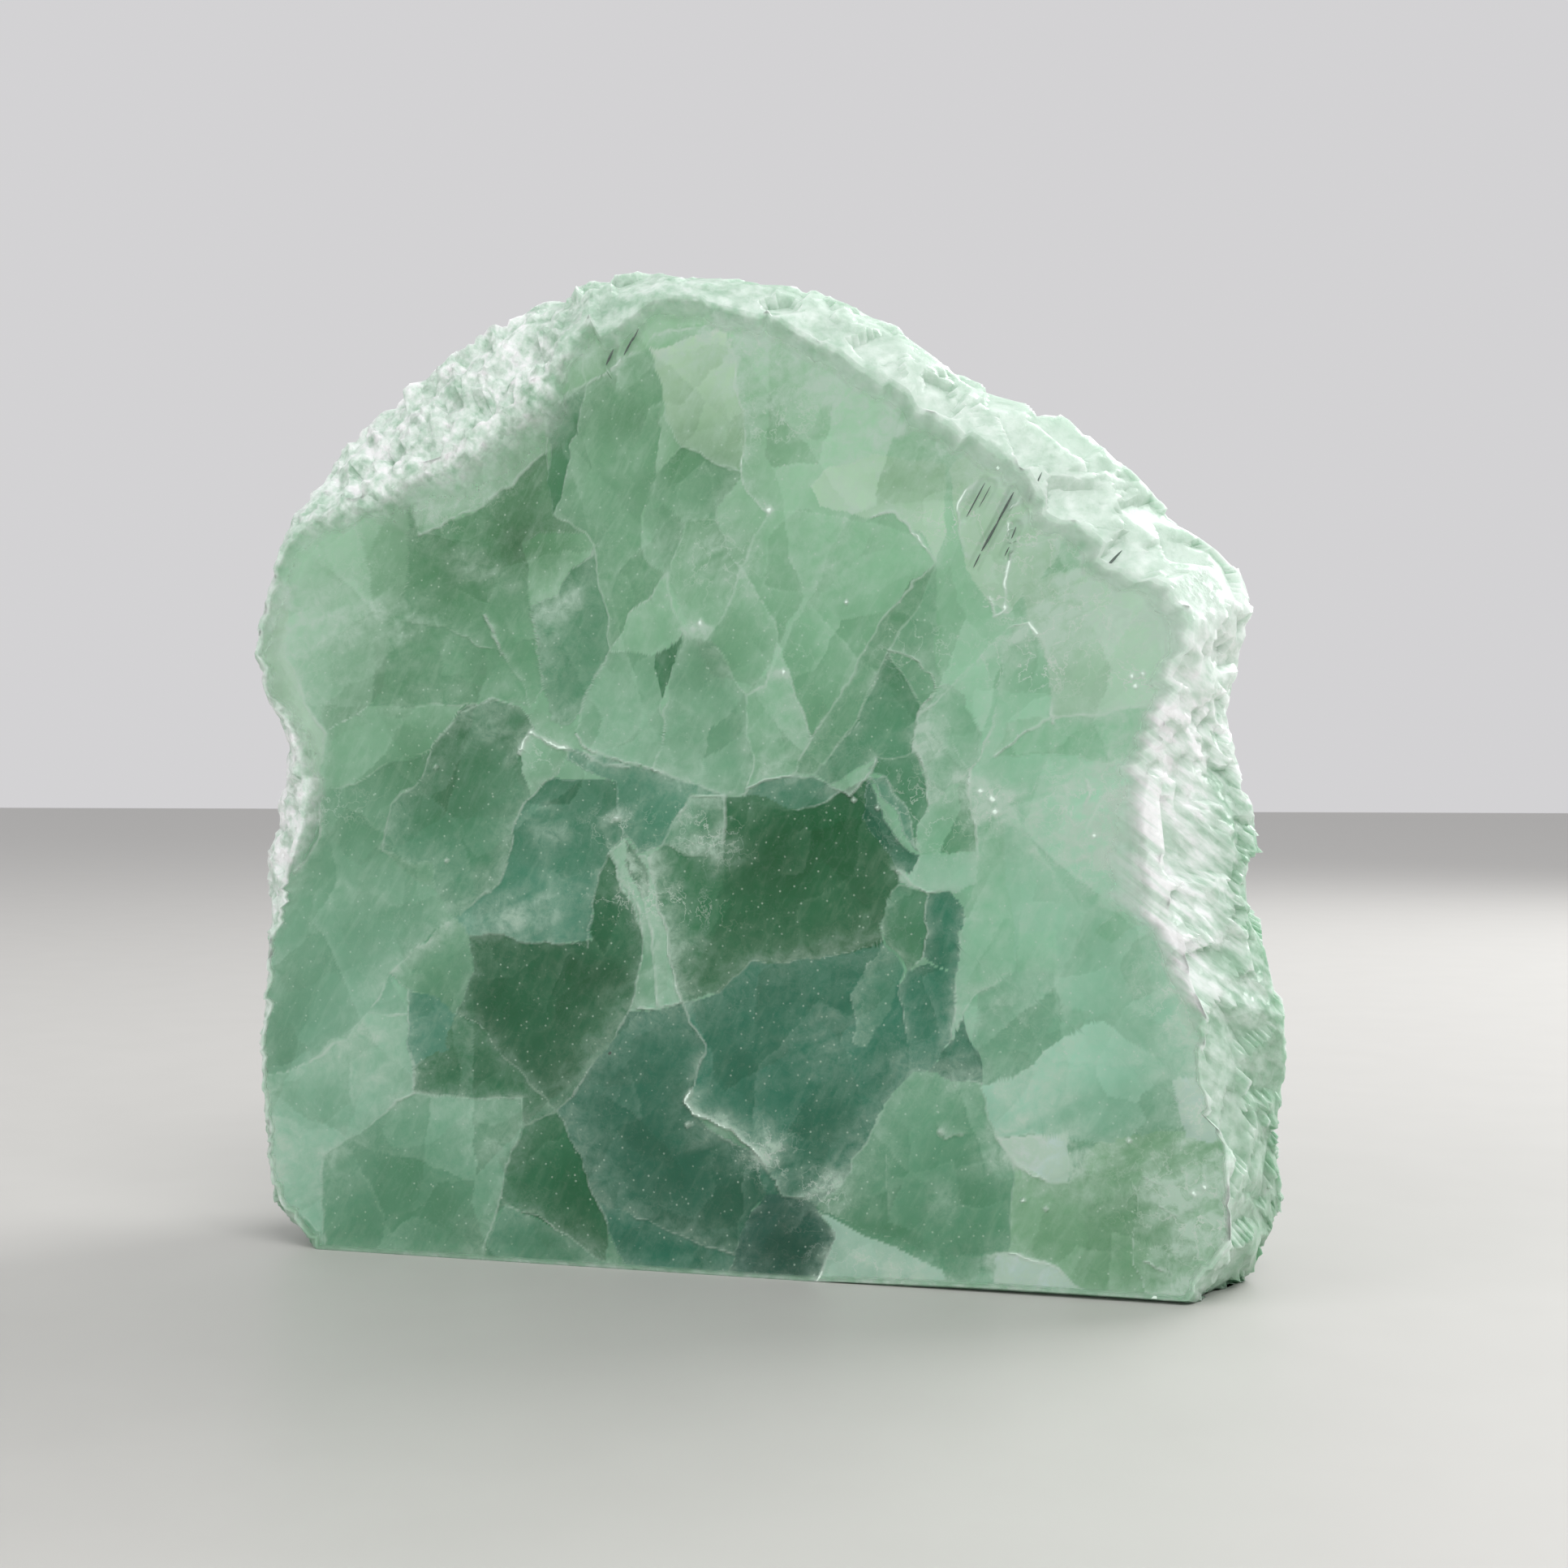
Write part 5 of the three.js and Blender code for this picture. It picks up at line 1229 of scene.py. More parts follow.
# Middle in mm, half sizes in mm, turn in degrees, strength; a dark cloud where below 0.
Haze = namedtuple("Haze", "name middle size turn strength")
HAZES = [Haze(*row) for row in [
    ("white_haze_1", (28.9, 58.2), (4.6, 3.4), 30, 0.9),
    ("white_haze_2", (31.4, 60.9), (3.8, 2.3), 20, 0.6),
    ("glow_left", (23.5, 42.2), (2, 2.6), 80, 0.9),
    ("glow_middle", (32, 41.6), (5.7, 3.4), 10, 0.85),
    ("upper_bright", (16.3, 76.8), (6.9, 5.4), 20, 0.45),
    ("seam_white", (2.3, 84.7), (2.3, 5.4), 100, 0.6),
    ("rim_white", (31, 69.2), (9.2, 4.6), -35, 0.7),
    ("left_pale", (-41, 57.4), (3.8, 9.2), 86, 0.35),
    ("top_pale", (7.5, 81.5), (9.9, 5.7), 10, 0.55),
    ("corner_white", (42.8, 9), (4.6, 3.8), -40, 0.7),
    ("right_white", (40.2, 57.9), (3.1, 8.4), 95, 0.55),
    ("cap_haze", (-1.4, 64.6), (3.8, 3.4), 0, 0.6),
    ("cap_white", (-3, 57.6), (1.4, 0.7), 0, 0.9),
    ("haze_fleck", (4.6, 53.7), (0.6, 1.1), 90, 0.9),
    ("haze_eye", (3.8, 46.5), (2.1, 2.3), 0, 0.55),
    ("haze_tooth", (18, 47.5), (1.7, 2), 90, 0.6),
    ("specks_panel", (-16.9, 39.9), (1.8, 1.7), 0, 0.55),
    ("specks_panel_2", (-10.5, 40.7), (1.2, 2), 100, 0.6),
    ("gate_specks", (-2.2, 38.5), (2.7, 1.2), -20, 0.6),
    ("pool_cloud", (-3.7, 29.4), (2, 1.5), 0, 0.35),
    ("ridge_cloud", (-22.9, 48.5), (2, 2), 40, 0.45),
    ("dusk_cloud", (-16.1, 61), (2.4, 1.8), 0, 0.5),
    ("dusk_dark", (-17.9, 65.1), (5, 3.4), -8, -0.55),
    ("dusk_white", (-24.5, 63.8), (1.7, 4.6), 65, 0.5),
    ("keel_dark", (5.1, 3), (3.4, 3.1), 0, -0.3),
    ("pool_dark_right", (-12.6, 26.7), (2.3, 5.7), 80, -0.4),
    ("great_dark", (3.8, 37.9), (4.6, 3.8), 0, -0.3),
    ("tusk_dark", (-9.9, 76.6), (1.7, 4.6), 85, -0.2),
    ("prism_dark", (8.3, 12.9), (4.6, 4.6), 0, -0.15),
    ("left_cloud", (-38.1, 59.6), (3.8, 8.4), 85, 0.45),
    ("shore_teal", (7.5, 20.7), (3.8, 2.7), 0, 0.25),
    ("seam_cluster", (3.4, 11.6), (2, 1.8), -35, 0.8),
    ("seam_flame", (8.1, 8.4), (1.4, 2), 80, 0.8),
    ("apron_haze", (28.9, 13.8), (6.9, 4.2), -30, 0.55),
    ("knot_white", (27, 12.3), (3.7, 1.5), 10, 0.9),
    ("floor_specks", (19.1, 7.4), (1.2, 1.7), 0, 0.4),
    ("keel_white", (15.2, 1.1), (5.4, 1.5), -14, 0.6),
    ("keel_sail_white", (26.9, 1.5), (4.6, 2), -24, 0.7),
    ("corner_haze", (-42.3, 7.5), (3.1, 4.6), 90, 0.5),
    ("corner_haze_2", (-33.9, 17.8), (4.6, 4.6), 0, 0.35),
    ("corner_sparkle", (39.5, 2.3), (3.8, 1.7), -40, 0.7),
    ("corner_streak", (39.2, 9.5), (5.4, 3.1), -25, 0.5),
    ("right_shore_white", (39.2, 37.5), (2.8, 8.4), 90, 0.75),
    ("right_shore_white_2", (40.5, 25.9), (3.1, 4.6), 60, 0.6),
    ("white_block", (41.2, 16.7), (2.8, 3.1), 0, 0.8),
    ("teeth_haze", (9, 62.9), (4.6, 3.1), 0, 0.3),
    ("fern_haze", (24.1, 24.8), (2.3, 4.6), 100, 0.35),
    ("crust_edge", (-26.5, 69.9), (4.6, 2.3), 25, 0.5),
    ("notch_haze", (-15.3, 82.8), (1.5, 4.6), 95, 0.5),
    ("panel_low", (-20.1, 32.1), (4.6, 2.3), 15, 0.55),
    ("floor_left_cloud", (-23.3, 11.5), (3.1, 3.8), 90, 0.35),
    ("lower_pool_cloud", (-1.4, 12.4), (3.1, 2.3), -20, 0.35),
]]
# Painted highlights: glints, white spots for the sparkle of tiny open cracks; x, z and size in mm.
PAINTED_GLINTS = [
    (35.5, 53, 0.45), (36.3, 53.2, 0.4), (35.8, 52.2, 0.35), (31, 71.6, 0.45), (23.8, 71.1, 0.3),
    (24.4, 59.1, 0.5), (23.5, 42.6, 0.5), (22.7, 43.3, 0.4), (23.7, 41.5, 0.45),
    (11.5, 42.5, 0.3), (13.4, 41.8, 0.3), (-3.9, 13.3, 0.35), (3.7, 68.2, 0.5),
    (-37.2, 72.1, 0.4), (-32.6, 71.6, 0.35), (-22.3, 79.7, 0.4), (10.8, 59.9, 0.3),
    (-2.4, 58.3, 0.5), (-3.3, 57.8, 0.35), (4.7, 53.8, 0.4), (35, 13.7, 0.35), (41.3, 10.1, 0.4),
    (40.5, 9.5, 0.5), (43.7, 4.6, 0.35), (47.1, 5.8, 0.4), (46.5, 7, 0.35), (37.2, 0.5, 0.5),
    (38, -0, 0.4), (40.8, 1.7, 0.35), (45.2, 3.7, 0.35), (42.6, 1.5, 0.4), (-27.6, 36.8, 0.3),
    (-28.2, 45.5, 0.3), (-10.5, 40.8, 0.35), (32, 39.5, 0.35), (26.3, 8.1, 0.3), (28.3, 7.5, 0.3),
]
# Zones crazed with fine cracks, written alike.
CRAZED = [Haze(*row) for row in [
    ("needle_bed_left", (21.6, 66.8), (1.7, 4.6), 90, 1),
    ("needle_bed_right", (26.3, 65.9), (3.8, 6.1), 80, 0.95),
    ("needle_bed_low", (24.5, 59.3), (1.4, 2.3), 80, 1),
    ("bright_shelf", (30.3, 57.5), (6.5, 4.2), 30, 0.7),
    ("shelf_glint", (35.5, 52.9), (2.3, 1.4), -20, 1),
    ("white_shelf_left", (26.9, 54.1), (2.3, 4.6), 80, 0.9),
    ("glow_ring", (32, 42.6), (5.4, 3.4), 10, 0.7),
    ("glow_left", (23.5, 42.2), (1.8, 2.3), 80, 0.9),
    ("upper_teeth", (4.6, 76), (4.6, 3.1), 0, 0.5),
    ("fan_edge", (17.7, 55.6), (2.3, 4.6), 80, 0.5),
    ("gate", (-2.2, 39.3), (3.1, 2.3), -20, 0.85),
    ("blade", (-7.6, 33.4), (1.7, 5.7), 80, 0.9),
    ("rim_eye", (-10.3, 39.9), (1.7, 3.1), 90, 0.7),
    ("seam", (3.4, 11.2), (2.6, 2), -35, 0.9),
    ("flame", (8.3, 7.9), (1.7, 2.3), 80, 0.9),
    ("keel", (14.8, 1.1), (6.9, 1.5), -14, 0.8),
    ("shore", (39.5, 37.5), (3.1, 8.4), 90, 0.9),
    ("shore_low", (40.5, 25.9), (3.4, 4.6), 60, 0.8),
    ("top_white", (2.3, 84.7), (3.1, 4.6), 100, 0.6),
    ("cap", (-1.4, 63.9), (3.8, 3.8), 0, 0.5),
    ("chips", (17.7, 41.5), (3.1, 4.6), 60, 0.6),
    ("left_strip", (-43.1, 41.3), (1.7, 6.9), 95, 0.8),
    ("crust_foot", (-25.7, 69.9), (4.6, 1.9), 25, 0.6),
    ("lozenge", (-17.7, 46.6), (1.9, 1.9), 0, 0.6),
    ("corner", (41.8, 7.6), (6.9, 4.6), -35, 0.9),
    ("white_block", (41.4, 16.7), (2.3, 2.6), 0, 0.8),
    ("eastern_glow", (31, 38.1), (4.6, 3.1), 0, 0.4),
]]
# Angle round the heart in degrees, width in mm and strength of the white edge zone,
# painted light for the light that comes in through the raw edges.
RIM_PAINTED_LIGHT = np.array([
    [-180, 1.2, 0.25], [-140, 1.5, 0.30], [-100, 0.8, 0.2], [-60, 1.2, 0.3], [-42, 3.0, 0.35],
    [-30, 4.0, 0.45], [-8, 4.0, 0.55], [8, 4.0, 0.5], [22, 3.5, 0.45], [34, 5.0, 0.6],
    [60, 4.5, 0.6], [78, 3.0, 0.4], [95, 2.0, 0.3], [112, 3.0, 0.45], [135, 2.5, 0.4],
    [150, 2.0, 0.35], [180, 1.2, 0.25],
])


def off_segment(x, z, start, way):
    """How far each point lies from its nearest point on a segment, in x and in z."""
    along = np.clip(((x - start[0]) * way[0] + (z - start[1]) * way[1]) / (way @ way), 0, 1)
    return x - start[0] - along * way[0], z - start[1] - along * way[1]


def path_distance(x, z, path):
    """Least distance to the path's segments, and the side: the sign of the cross product."""
    nearest = np.full(x.shape, FAR)
    side = np.zeros(x.shape)
    for start, way in zip(path[:-1], np.diff(path, axis=0)):
        off_x, off_z = off_segment(x, z, start, way)
        distance = np.hypot(off_x, off_z)
        closer = distance < nearest
        nearest = np.where(closer, distance, nearest)
        side = np.where(closer, np.sign(way[0] * off_z - way[1] * off_x), side)
    return nearest, side


def close_to(x, z, path, reach):
    """The points within reach of the path's box, so that far ones cost nothing."""
    return (x > path[:, 0].min() - reach) & (x < path[:, 0].max() + reach) \
        & (z > path[:, 1].min() - reach) & (z < path[:, 1].max() + reach)


def crack_marks(x, z, crack):
    """A bell across the crack's line, and a veil that dies away on one side of it."""
    path = np.array(crack.path, float)
    near = close_to(x, z, path, 3.0 + 2.5 * abs(crack.fade))
    nearest, side = path_distance(x[near], z[near], path)
    line = np.zeros(x.shape)
    fading = np.zeros(x.shape)
    line[near] = crack.strength * np.exp(-(nearest / (LINE_SHARE * crack.width)) ** 2)
    fading[near] = crack.strength * np.exp(-nearest / abs(crack.fade)) * (side == np.sign(crack.fade))
    return line, fading


def haze_marks(x, z, haze):
    """A bell over a turned ellipse: exp(-r squared), r in half sizes."""
    turn = math.radians(haze.turn)
    off_x, off_z = x - haze.middle[0], z - haze.middle[1]
    u = (off_x * math.cos(turn) + off_z * math.sin(turn)) / haze.size[0]
    v = (off_z * math.cos(turn) - off_x * math.sin(turn)) / haze.size[1]
    return haze.strength * np.exp(-(u ** 2 + v ** 2))


print(len(CRACKS), "young cracks and", len(HAZES), "hazes")

# %% [markdown]
# Needles of another mineral froze into the stone near the top, all leaning the same
# way, with one black speck lower down. The relief has to leave them room.

# %% Where the needles lie
# x and z of the upper end, x and z of the lower end, thickness, all in millimetres.
NEEDLES = np.array([
    [22.9, 69.9, 21.3, 67.0, 0.12], [23.4, 69.6, 22.4, 67.8, 0.08], [25.4, 69.0, 23.9, 66.3, 0.2],
    [24.1, 66.6, 22.6, 64.0, 0.22], [22.5, 63.8, 21.9, 62.6, 0.12], [27.8, 70.6, 26.6, 68.0, 0.18],
    [25.6, 66.0, 25.2, 65.0, 0.12], [25.0, 64.3, 24.6, 63.5, 0.1], [34.6, 63.7, 33.3, 62.4, 0.2],
    [34.2, 63.2, 33.1, 62.1, 0.12], [-11.0, 83.3, -11.7, 81.9, 0.22], [-9.1, 84.3, -10.0, 82.7, 0.18],
    [-8.6, 85.0, -9.2, 83.9, 0.14], [-11.5, 19.4, -11.2, 19.6, 0.26],
])
print(len(NEEDLES), "needles")

# %% [markdown]
# Now the grains are laid one over another. Inside each outline the distance to its
# edges gives the bright hairline and the veil, whose strength follows how far the
# edge faces the veil's direction.

# %% Lay the grains one over another
HAIRLINE = 0.16
RAGGED = 0.55
LARGEST_TILT = 0.08
# A deeper green loses more red and blue than green: how each answers to the shading.
DEEPENING = np.array([1.0, 0.7, 0.95])


def inside_outline(x, z, outline):
    """Even-odd rule: a point is inside if a ray to the right crosses an odd number of edges."""
    crossings = np.zeros(x.shape, bool)
    for (x1, z1), (x2, z2) in zip(outline, np.roll(outline, -1, axis=0)):
        spans = (z1 > z) != (z2 > z)
        crossings ^= spans & (x < x1 + (z - z1) * (x2 - x1) / ((z2 - z1) or 1e-9))
    return crossings


def edge_marks(x, z, outline, veil_way):
    """Distance to the outline, and a veil along the edges that face the veil's direction."""
    angle, width, _ = veil_way
    nearest, brightness = np.full(len(x), FAR), np.zeros(len(x))
    after = np.roll(outline, -1, axis=0)
    clockwise = np.sign(np.sum(outline[:, 0] * after[:, 1] - after[:, 0] * outline[:, 1]))
    for start, way in zip(outline, after - outline):
        distance = np.hypot(*off_segment(x, z, start, way))
        nearest = np.minimum(nearest, distance)
        if width:
            facing = math.degrees(math.atan2(-way[0] * clockwise, way[1] * clockwise))
            share = max(0.0, math.cos(math.radians(facing - angle)))
            brightness = np.maximum(brightness, share * np.exp(-distance / (0.45 * width)))
    return nearest, brightness


warped_x = grid_x + RAGGED * (layered(grid_x, grid_z, 2.2, 3) - 0.5) * 2
warped_z = grid_z + RAGGED * (layered(grid_x, grid_z, 2.2, 17) - 0.5) * 2
depth = np.full(grid_x.shape, 1.0)
colour = np.ones(grid_x.shape + (3,))
veil = np.zeros(grid_x.shape)
milkiness = np.full(grid_x.shape, 0.5)
crack_lines_and_glints = np.zeros(grid_x.shape)

for number, grain in enumerate(GRAINS):
    outline = np.array(grain.outline, float)
    held = inside_outline(warped_x, warped_z, outline)
    if not held.any():
        continue
    x, z = warped_x[held], warped_z[held]
    from_middle = np.array([x - x.mean(), z - z.mean()])
    half = max(np.ptp(x), np.ptp(z)) / 2
    tone_hex, floor_depth, milky_share = TONES[grain.tone]
    nearest, brightness = edge_marks(x, z, outline, grain.veil)
    if grain.name == "ground":
        nearest[:] = FAR
    fade_way = math.radians(grain.fade[0])
    toward = from_middle[0] * math.cos(fade_way) + from_middle[1] * math.sin(fade_way)
    shade = np.clip(1.0 - grain.fade[1] * toward / half, 0.35, 1.6)
    tilt = [(chance(number, seed) - 0.5) * LARGEST_TILT for seed in (7, 8)]
    depth[held] = floor_depth + from_middle[0] * tilt[0] + from_middle[1] * tilt[1]
    colour[held] = linear(tone_hex) * (1 + (shade - 1)[:, None] * DEEPENING)
    veil[held] = grain.veil[2] * brightness
    milkiness[held] = milky_share
    crack_lines_and_glints[held] = np.exp(-(nearest / HAIRLINE) ** 2) * (0.6 + 0.9 * grain.veil[2])
print("mean milkiness of the grains:", round(float(milkiness.mean()), 2))

# %% [markdown]
# The older fractures and slow clouds make each grain uneven. The young cracks then cut
# across all of them, stronger in some stretches than in others.

# %% Add the older fractures and the young cracks
streaks = layered(grid_x * 0.5 + grid_z * 0.2, grid_z * 2.2 - grid_x, 2.4, 29)
haze = layered(grid_x, grid_z, 9.0, 41)
fine = layered(grid_x, grid_z, 1.3, 53, layers=3)
swing = np.zeros(grid_x.shape)
older_veil = np.zeros(grid_x.shape)
for shards in SHARDS:
    tone, edge_veil = shard_layer(warped_x, warped_z, shards)
    swing += shards.tone_swing * tone
    older_veil = np.maximum(older_veil, shards.veil * edge_veil)
veil = veil * (0.5 + 1.0 * streaks) + milkiness * np.clip(haze - 0.55, 0, 1) * 0.9
older = older_veil * (0.3 + 1.2 * haze) + 0.25 * np.clip(swing, 0, 1)
veil = np.clip(veil + older * (0.3 + 0.7 * milkiness), 0, 1)
crack_lines_and_glints = 0.6 * crack_lines_and_glints * np.clip(layered(grid_x, grid_z, 7.0, 67) * 3.2 - 0.9, 0.1, 1)
line_strength = np.clip(layered(warped_x, warped_z, 4.0, 71) * 3.2 - 0.75, 0.1, 1.25)
for crack in CRACKS:
    line, fading = crack_marks(warped_x, warped_z, crack)
    crack_lines_and_glints = np.maximum(crack_lines_and_glints, line * line_strength)
    veil = np.maximum(veil, 0.75 * fading * (0.35 + 1.1 * streaks))
print("share of the face on a bright line:", round(float((crack_lines_and_glints > 0.5).mean()), 3))

# %% [markdown]
# Hazes whiten or darken broad patches, and glints are painted highlights, white spots for
# the sparkle of tiny open cracks. The green is warmer at the top and on the left, and
# cooler at the foot and on the right. A white zone of painted light follows the rim, for
# the light that comes in through the raw edges.

# %% Hazes, painted glints, warmth and painted light at the edge
for patch in HAZES:
    mark = haze_marks(grid_x, grid_z, patch)
    if patch.strength > 0:
        veil = veil + mark * np.clip(2.2 * streaks - 0.3, 0.1, 1.2)
    else:
        colour *= 1 + mark[..., None] * DEEPENING
        veil *= 1 + 0.6 * mark
# Painted highlights: each glint is a white spot, carried along with the crack lines.
for x, z, size in PAINTED_GLINTS:
    near = (np.abs(grid_x - x) < 1) & (np.abs(grid_z - z) < 1)
    off = (np.abs(warped_x[near] - x) + np.abs(grid_z[near] - z)) / size
    crack_lines_and_glints[near] = np.maximum(crack_lines_and_glints[near], np.clip(1.5 - off, 0, 1))
to_right = np.clip((grid_x + 15) / 45, 0, 1)
to_foot = np.clip((48 - grid_z) / 36, -1, 1)
colour[..., 0] *= 1 - 0.1 * to_right
colour[..., 2] *= 1 + 0.1 * to_foot - 0.05 * to_right
# Painted light: the rim whitens where light comes in through the raw edges.
polar = np.degrees(np.arctan2(grid_z - HEART[2], grid_x - HEART[0]))
rim_light_width = np.interp(polar, RIM_PAINTED_LIGHT[:, 0], RIM_PAINTED_LIGHT[:, 1])
rim_light_strength = np.interp(polar, RIM_PAINTED_LIGHT[:, 0], RIM_PAINTED_LIGHT[:, 2])
veil = veil + rim_light_strength * np.exp(-rim_room / rim_light_width) * np.clip(0.3 + 1.4 * streaks, 0.3, 1.3)
veil, crack_lines_and_glints = np.clip(veil, 0, 1), np.clip(crack_lines_and_glints, 0, 1)
cloudiness = np.clip(0.05 + 0.7 * milkiness * haze + 0.4 * veil, 0, 1)
crazing = 0.03 + 0.2 * milkiness * np.clip(3.5 * layered(grid_x, grid_z, 6.0, 83) - 1.9, 0, 1)
for zone in CRAZED:
    crazing = np.maximum(crazing, haze_marks(grid_x, grid_z, zone))
shading = np.clip(0.55 * swing + 0.35 * (haze - 0.5) + 0.12 * (fine - 0.5), -0.6, 0.8)
colour = np.clip(colour * (1 + shading[..., None] * DEEPENING), 0, 1)
print("mean veil over the face:", round(float(veil.mean()), 2))

# %% [markdown]
# Last comes the depth. Its steps are softened by averaging neighbours, it dies away to
# the rim, and it drops back behind each needle. The relief swells up beside a strong
# crack, and the crack itself stands proud of the lapped face by a hair.

# %% Depth of the relief
SOFTENING = 24
DEPTH_KEPT = 0.26
SHALLOWEST, DEEPEST = 0.04, 3.2
RIM_SLOPE = 1.6
NEEDLE_ROOM = 0.3
PROUD = 0.02

for _ in range(SOFTENING):
    padded = np.pad(depth, 1, mode="edge")
    depth = (padded[:-2, 1:-1] + padded[2:, 1:-1] + padded[1:-1, :-2] + padded[1:-1, 2:] + 2 * depth) / 6
depth = DEPTH_KEPT * depth * (1 - 0.6 * veil) + 0.08 * (fine - 0.5)
depth = np.clip(depth * np.clip(rim_room / RIM_SLOPE, 0.05, 1.0), SHALLOWEST, DEEPEST)
for needle in NEEDLES:
    path = needle[:4].reshape(2, 2)
    near = close_to(grid_x, grid_z, path, 1.0)
    nearest = path_distance(grid_x[near], grid_z[near], path)[0]
    depth[near] = np.maximum(depth[near], NEEDLE_ROOM * np.clip(1.8 - nearest / 0.4, 0, 1))
    crack_lines_and_glints[near] *= nearest > 0.3
lift = np.clip((crack_lines_and_glints - 0.8) / 0.15, 0, 1)
depth = depth * (1 - 0.6 * np.clip(1.6 * crack_lines_and_glints - 0.5, 0, 1))
depth = depth * (1 - lift) - PROUD * lift
print("veil floors lie", round(float(depth.min()), 2), "to", round(float(depth.max()), 2), "mm deep")

# %% [markdown]
# A mesh that is too fine slows everything that follows, so the relief is three pieces
# that meet at two lines. Each is closed at the back: its edge is carried back to a flat
# plate, drawn in a little so that it stays inside the bevel.

# %% Three closed pieces of relief
VEIL_BACK_Y = POLISHED_FACE_Y + 4.5
VEIL_TAPER = 0.96
THIRD = COLUMNS // 3
THIRDS = {"left": (0, THIRD), "middle": (THIRD, 2 * THIRD), "right": (2 * THIRD, COLUMNS)}


def closed_relief(name, first, last):
    """The front grid, a copy of its border at the back plane, and a flat back face."""
    columns = slice(first, last + 1)
    x, z, deep = grid_x[columns], grid_z[columns], depth[columns]
    wide, tall = x.shape
    front = np.stack([x, LAPPED_Y + deep, z], axis=-1).reshape(-1, 3)
    number = np.arange(wide * tall).reshape(wide, tall)
    a, b = number[:-1, :-1].ravel(), number[1:, :-1].ravel()
    c, d = number[1:, 1:].ravel(), number[:-1, 1:].ravel()
    border = np.concatenate([number[:, 0], number[-1, 1:], number[-2::-1, -1], number[0, -2:0:-1]])
    behind = HEART + (front[border] - HEART) * VEIL_TAPER
    behind[:, 1] = VEIL_BACK_Y
    back = len(front) + np.arange(len(border))
    walls = np.stack([border, back, np.roll(back, -1), np.roll(border, -1)], axis=1)
    faces = np.stack([a, b, c, d], axis=1).tolist() + walls.tolist() + [back[::-1].tolist()]
    piece = mesh_piece(name, np.vstack([front, behind]), faces, smooth_angle=40)

    def with_border(values):
        flat = values[columns].reshape(wide * tall, -1)
        return np.vstack([flat, flat[border]])

    store(piece, "grain_colour", np.hstack([with_border(colour), np.ones((len(front) + len(border), 1))]))
    for name_kept, values in (("veil", veil), ("crack_lines_and_glints", crack_lines_and_glints), ("cloudy", cloudiness),
                              ("crazed", crazing)):
        store(piece, name_kept, with_border(values)[:, 0])
    print(name, len(faces), "faces")
    return piece


veils = [closed_relief("healed_fractures_" + side, *columns) for side, columns in THIRDS.items()]

# %% [markdown]
# ## Milky fluorite
# A healed fracture is a sheet of tiny bubbles, which scatter all light: matt white.
# Between them the grains are cloudy green. Under the clear skin nothing has a gloss
# of its own, so the material is almost wholly diffuse.

# %% Material of the veils
# Sizes in millimetres, then the way the wisps run in degrees.
BUBBLE_SPACING = 1.1
FEATHER = 1.4
CRINKLE = 2.4
WISP_SIZE = (3.6, 0.9)
WISP_TURN = 62.0

milky, output = new_material("milky_healed_fluorite")
split = add_node(milky, "ShaderNodeSeparateXYZ", {
    0: add_node(milky, "ShaderNodeTexCoord").outputs["Object"]}).outputs
place = add_node(milky, "ShaderNodeCombineXYZ", {0: split["X"], 1: split["Z"]}).outputs[0]
feather = noise(milky, place, per_metre(FEATHER), 5.0, 0.7, 0.3, "2D")
feathered = ramped(milky, feather, 0.3, 0.7, 0.35, 1.4)
# The veil also carries the painted light along the rim.
veil_mix = computed(milky, "MULTIPLY", kept(milky, "veil"), feathered, clamp=True)
veiled = mixed(milky, veil_mix, kept(milky, "grain_colour", "Color"), "#DDF6E5")

# %% [markdown]
# Over that lie wisps, which are bubble trails drawn out one way, then crinkles, thin
# lines where a noise crosses its middle value, and last the cracks and single bubbles.

# %% Wisps, crinkles, cracks and bubbles
wisp_way = add_node(milky, "ShaderNodeMapping", {
    "Vector": place,
    "Rotation": (0.0, 0.0, math.radians(WISP_TURN)),
    "Scale": (WISP_SIZE[0] * MM, WISP_SIZE[1] * MM, 1.0),
}, vector_type="TEXTURE").outputs[0]
wisps = noise(milky, wisp_way, 1.0, 4.0, 0.62, 0.25, "2D")
wisp_mix = computed(milky, "MULTIPLY", ramped(milky, wisps, 0.5, 0.74, 0.0, 0.6), kept(milky, "cloudy"))
wispy = mixed(milky, wisp_mix, veiled, "#D6F3DF")
crinkles = noise(milky, place, per_metre(CRINKLE), 4.0, 0.6, 0.15, "2D")
off_middle = computed(milky, "ABSOLUTE", computed(milky, "SUBTRACT", crinkles, 0.5))
crinkle_mix = computed(milky, "MULTIPLY", ramped(milky, off_middle, 0.022, 0.006),
                       kept(milky, "crazed"), clamp=True)
haired = mixed(milky, crinkle_mix, wispy, "#F0FCF2")
# Crack lines, and the painted glints they carry, in one near-white.
lined_and_glinting = mixed(milky, ramped(milky, kept(milky, "crack_lines_and_glints"), 0.2, 0.9), haired, "#E6FAEC")
bubbles = add_node(milky, "ShaderNodeTexVoronoi", {
    "Scale": per_metre(BUBBLE_SPACING), "Vector": place}, voronoi_dimensions="2D").outputs["Distance"]
speck_mix = computed(milky, "MULTIPLY", ramped(milky, bubbles, 0.11, 0.05, 0.0, 0.7),
                     ramped(milky, feather, 0.48, 0.62))
# Healed in the ground by hot brine, which left its bubbles behind.
milk = add_node(milky, "ShaderNodeBsdfPrincipled", {
    "Roughness": 0.9,
    "IOR": FLUORITE_IOR,
    "Specular IOR Level": 0.1,
    "Base Color": mixed(milky, speck_mix, lined_and_glinting, "#E6F8EA"),
})
milky.node_tree.links.new(milk.outputs[0], output.inputs["Surface"])
for piece in veils:
    piece.data.materials.append(milky)
print("the veils' material has", len(milky.node_tree.nodes), "nodes")

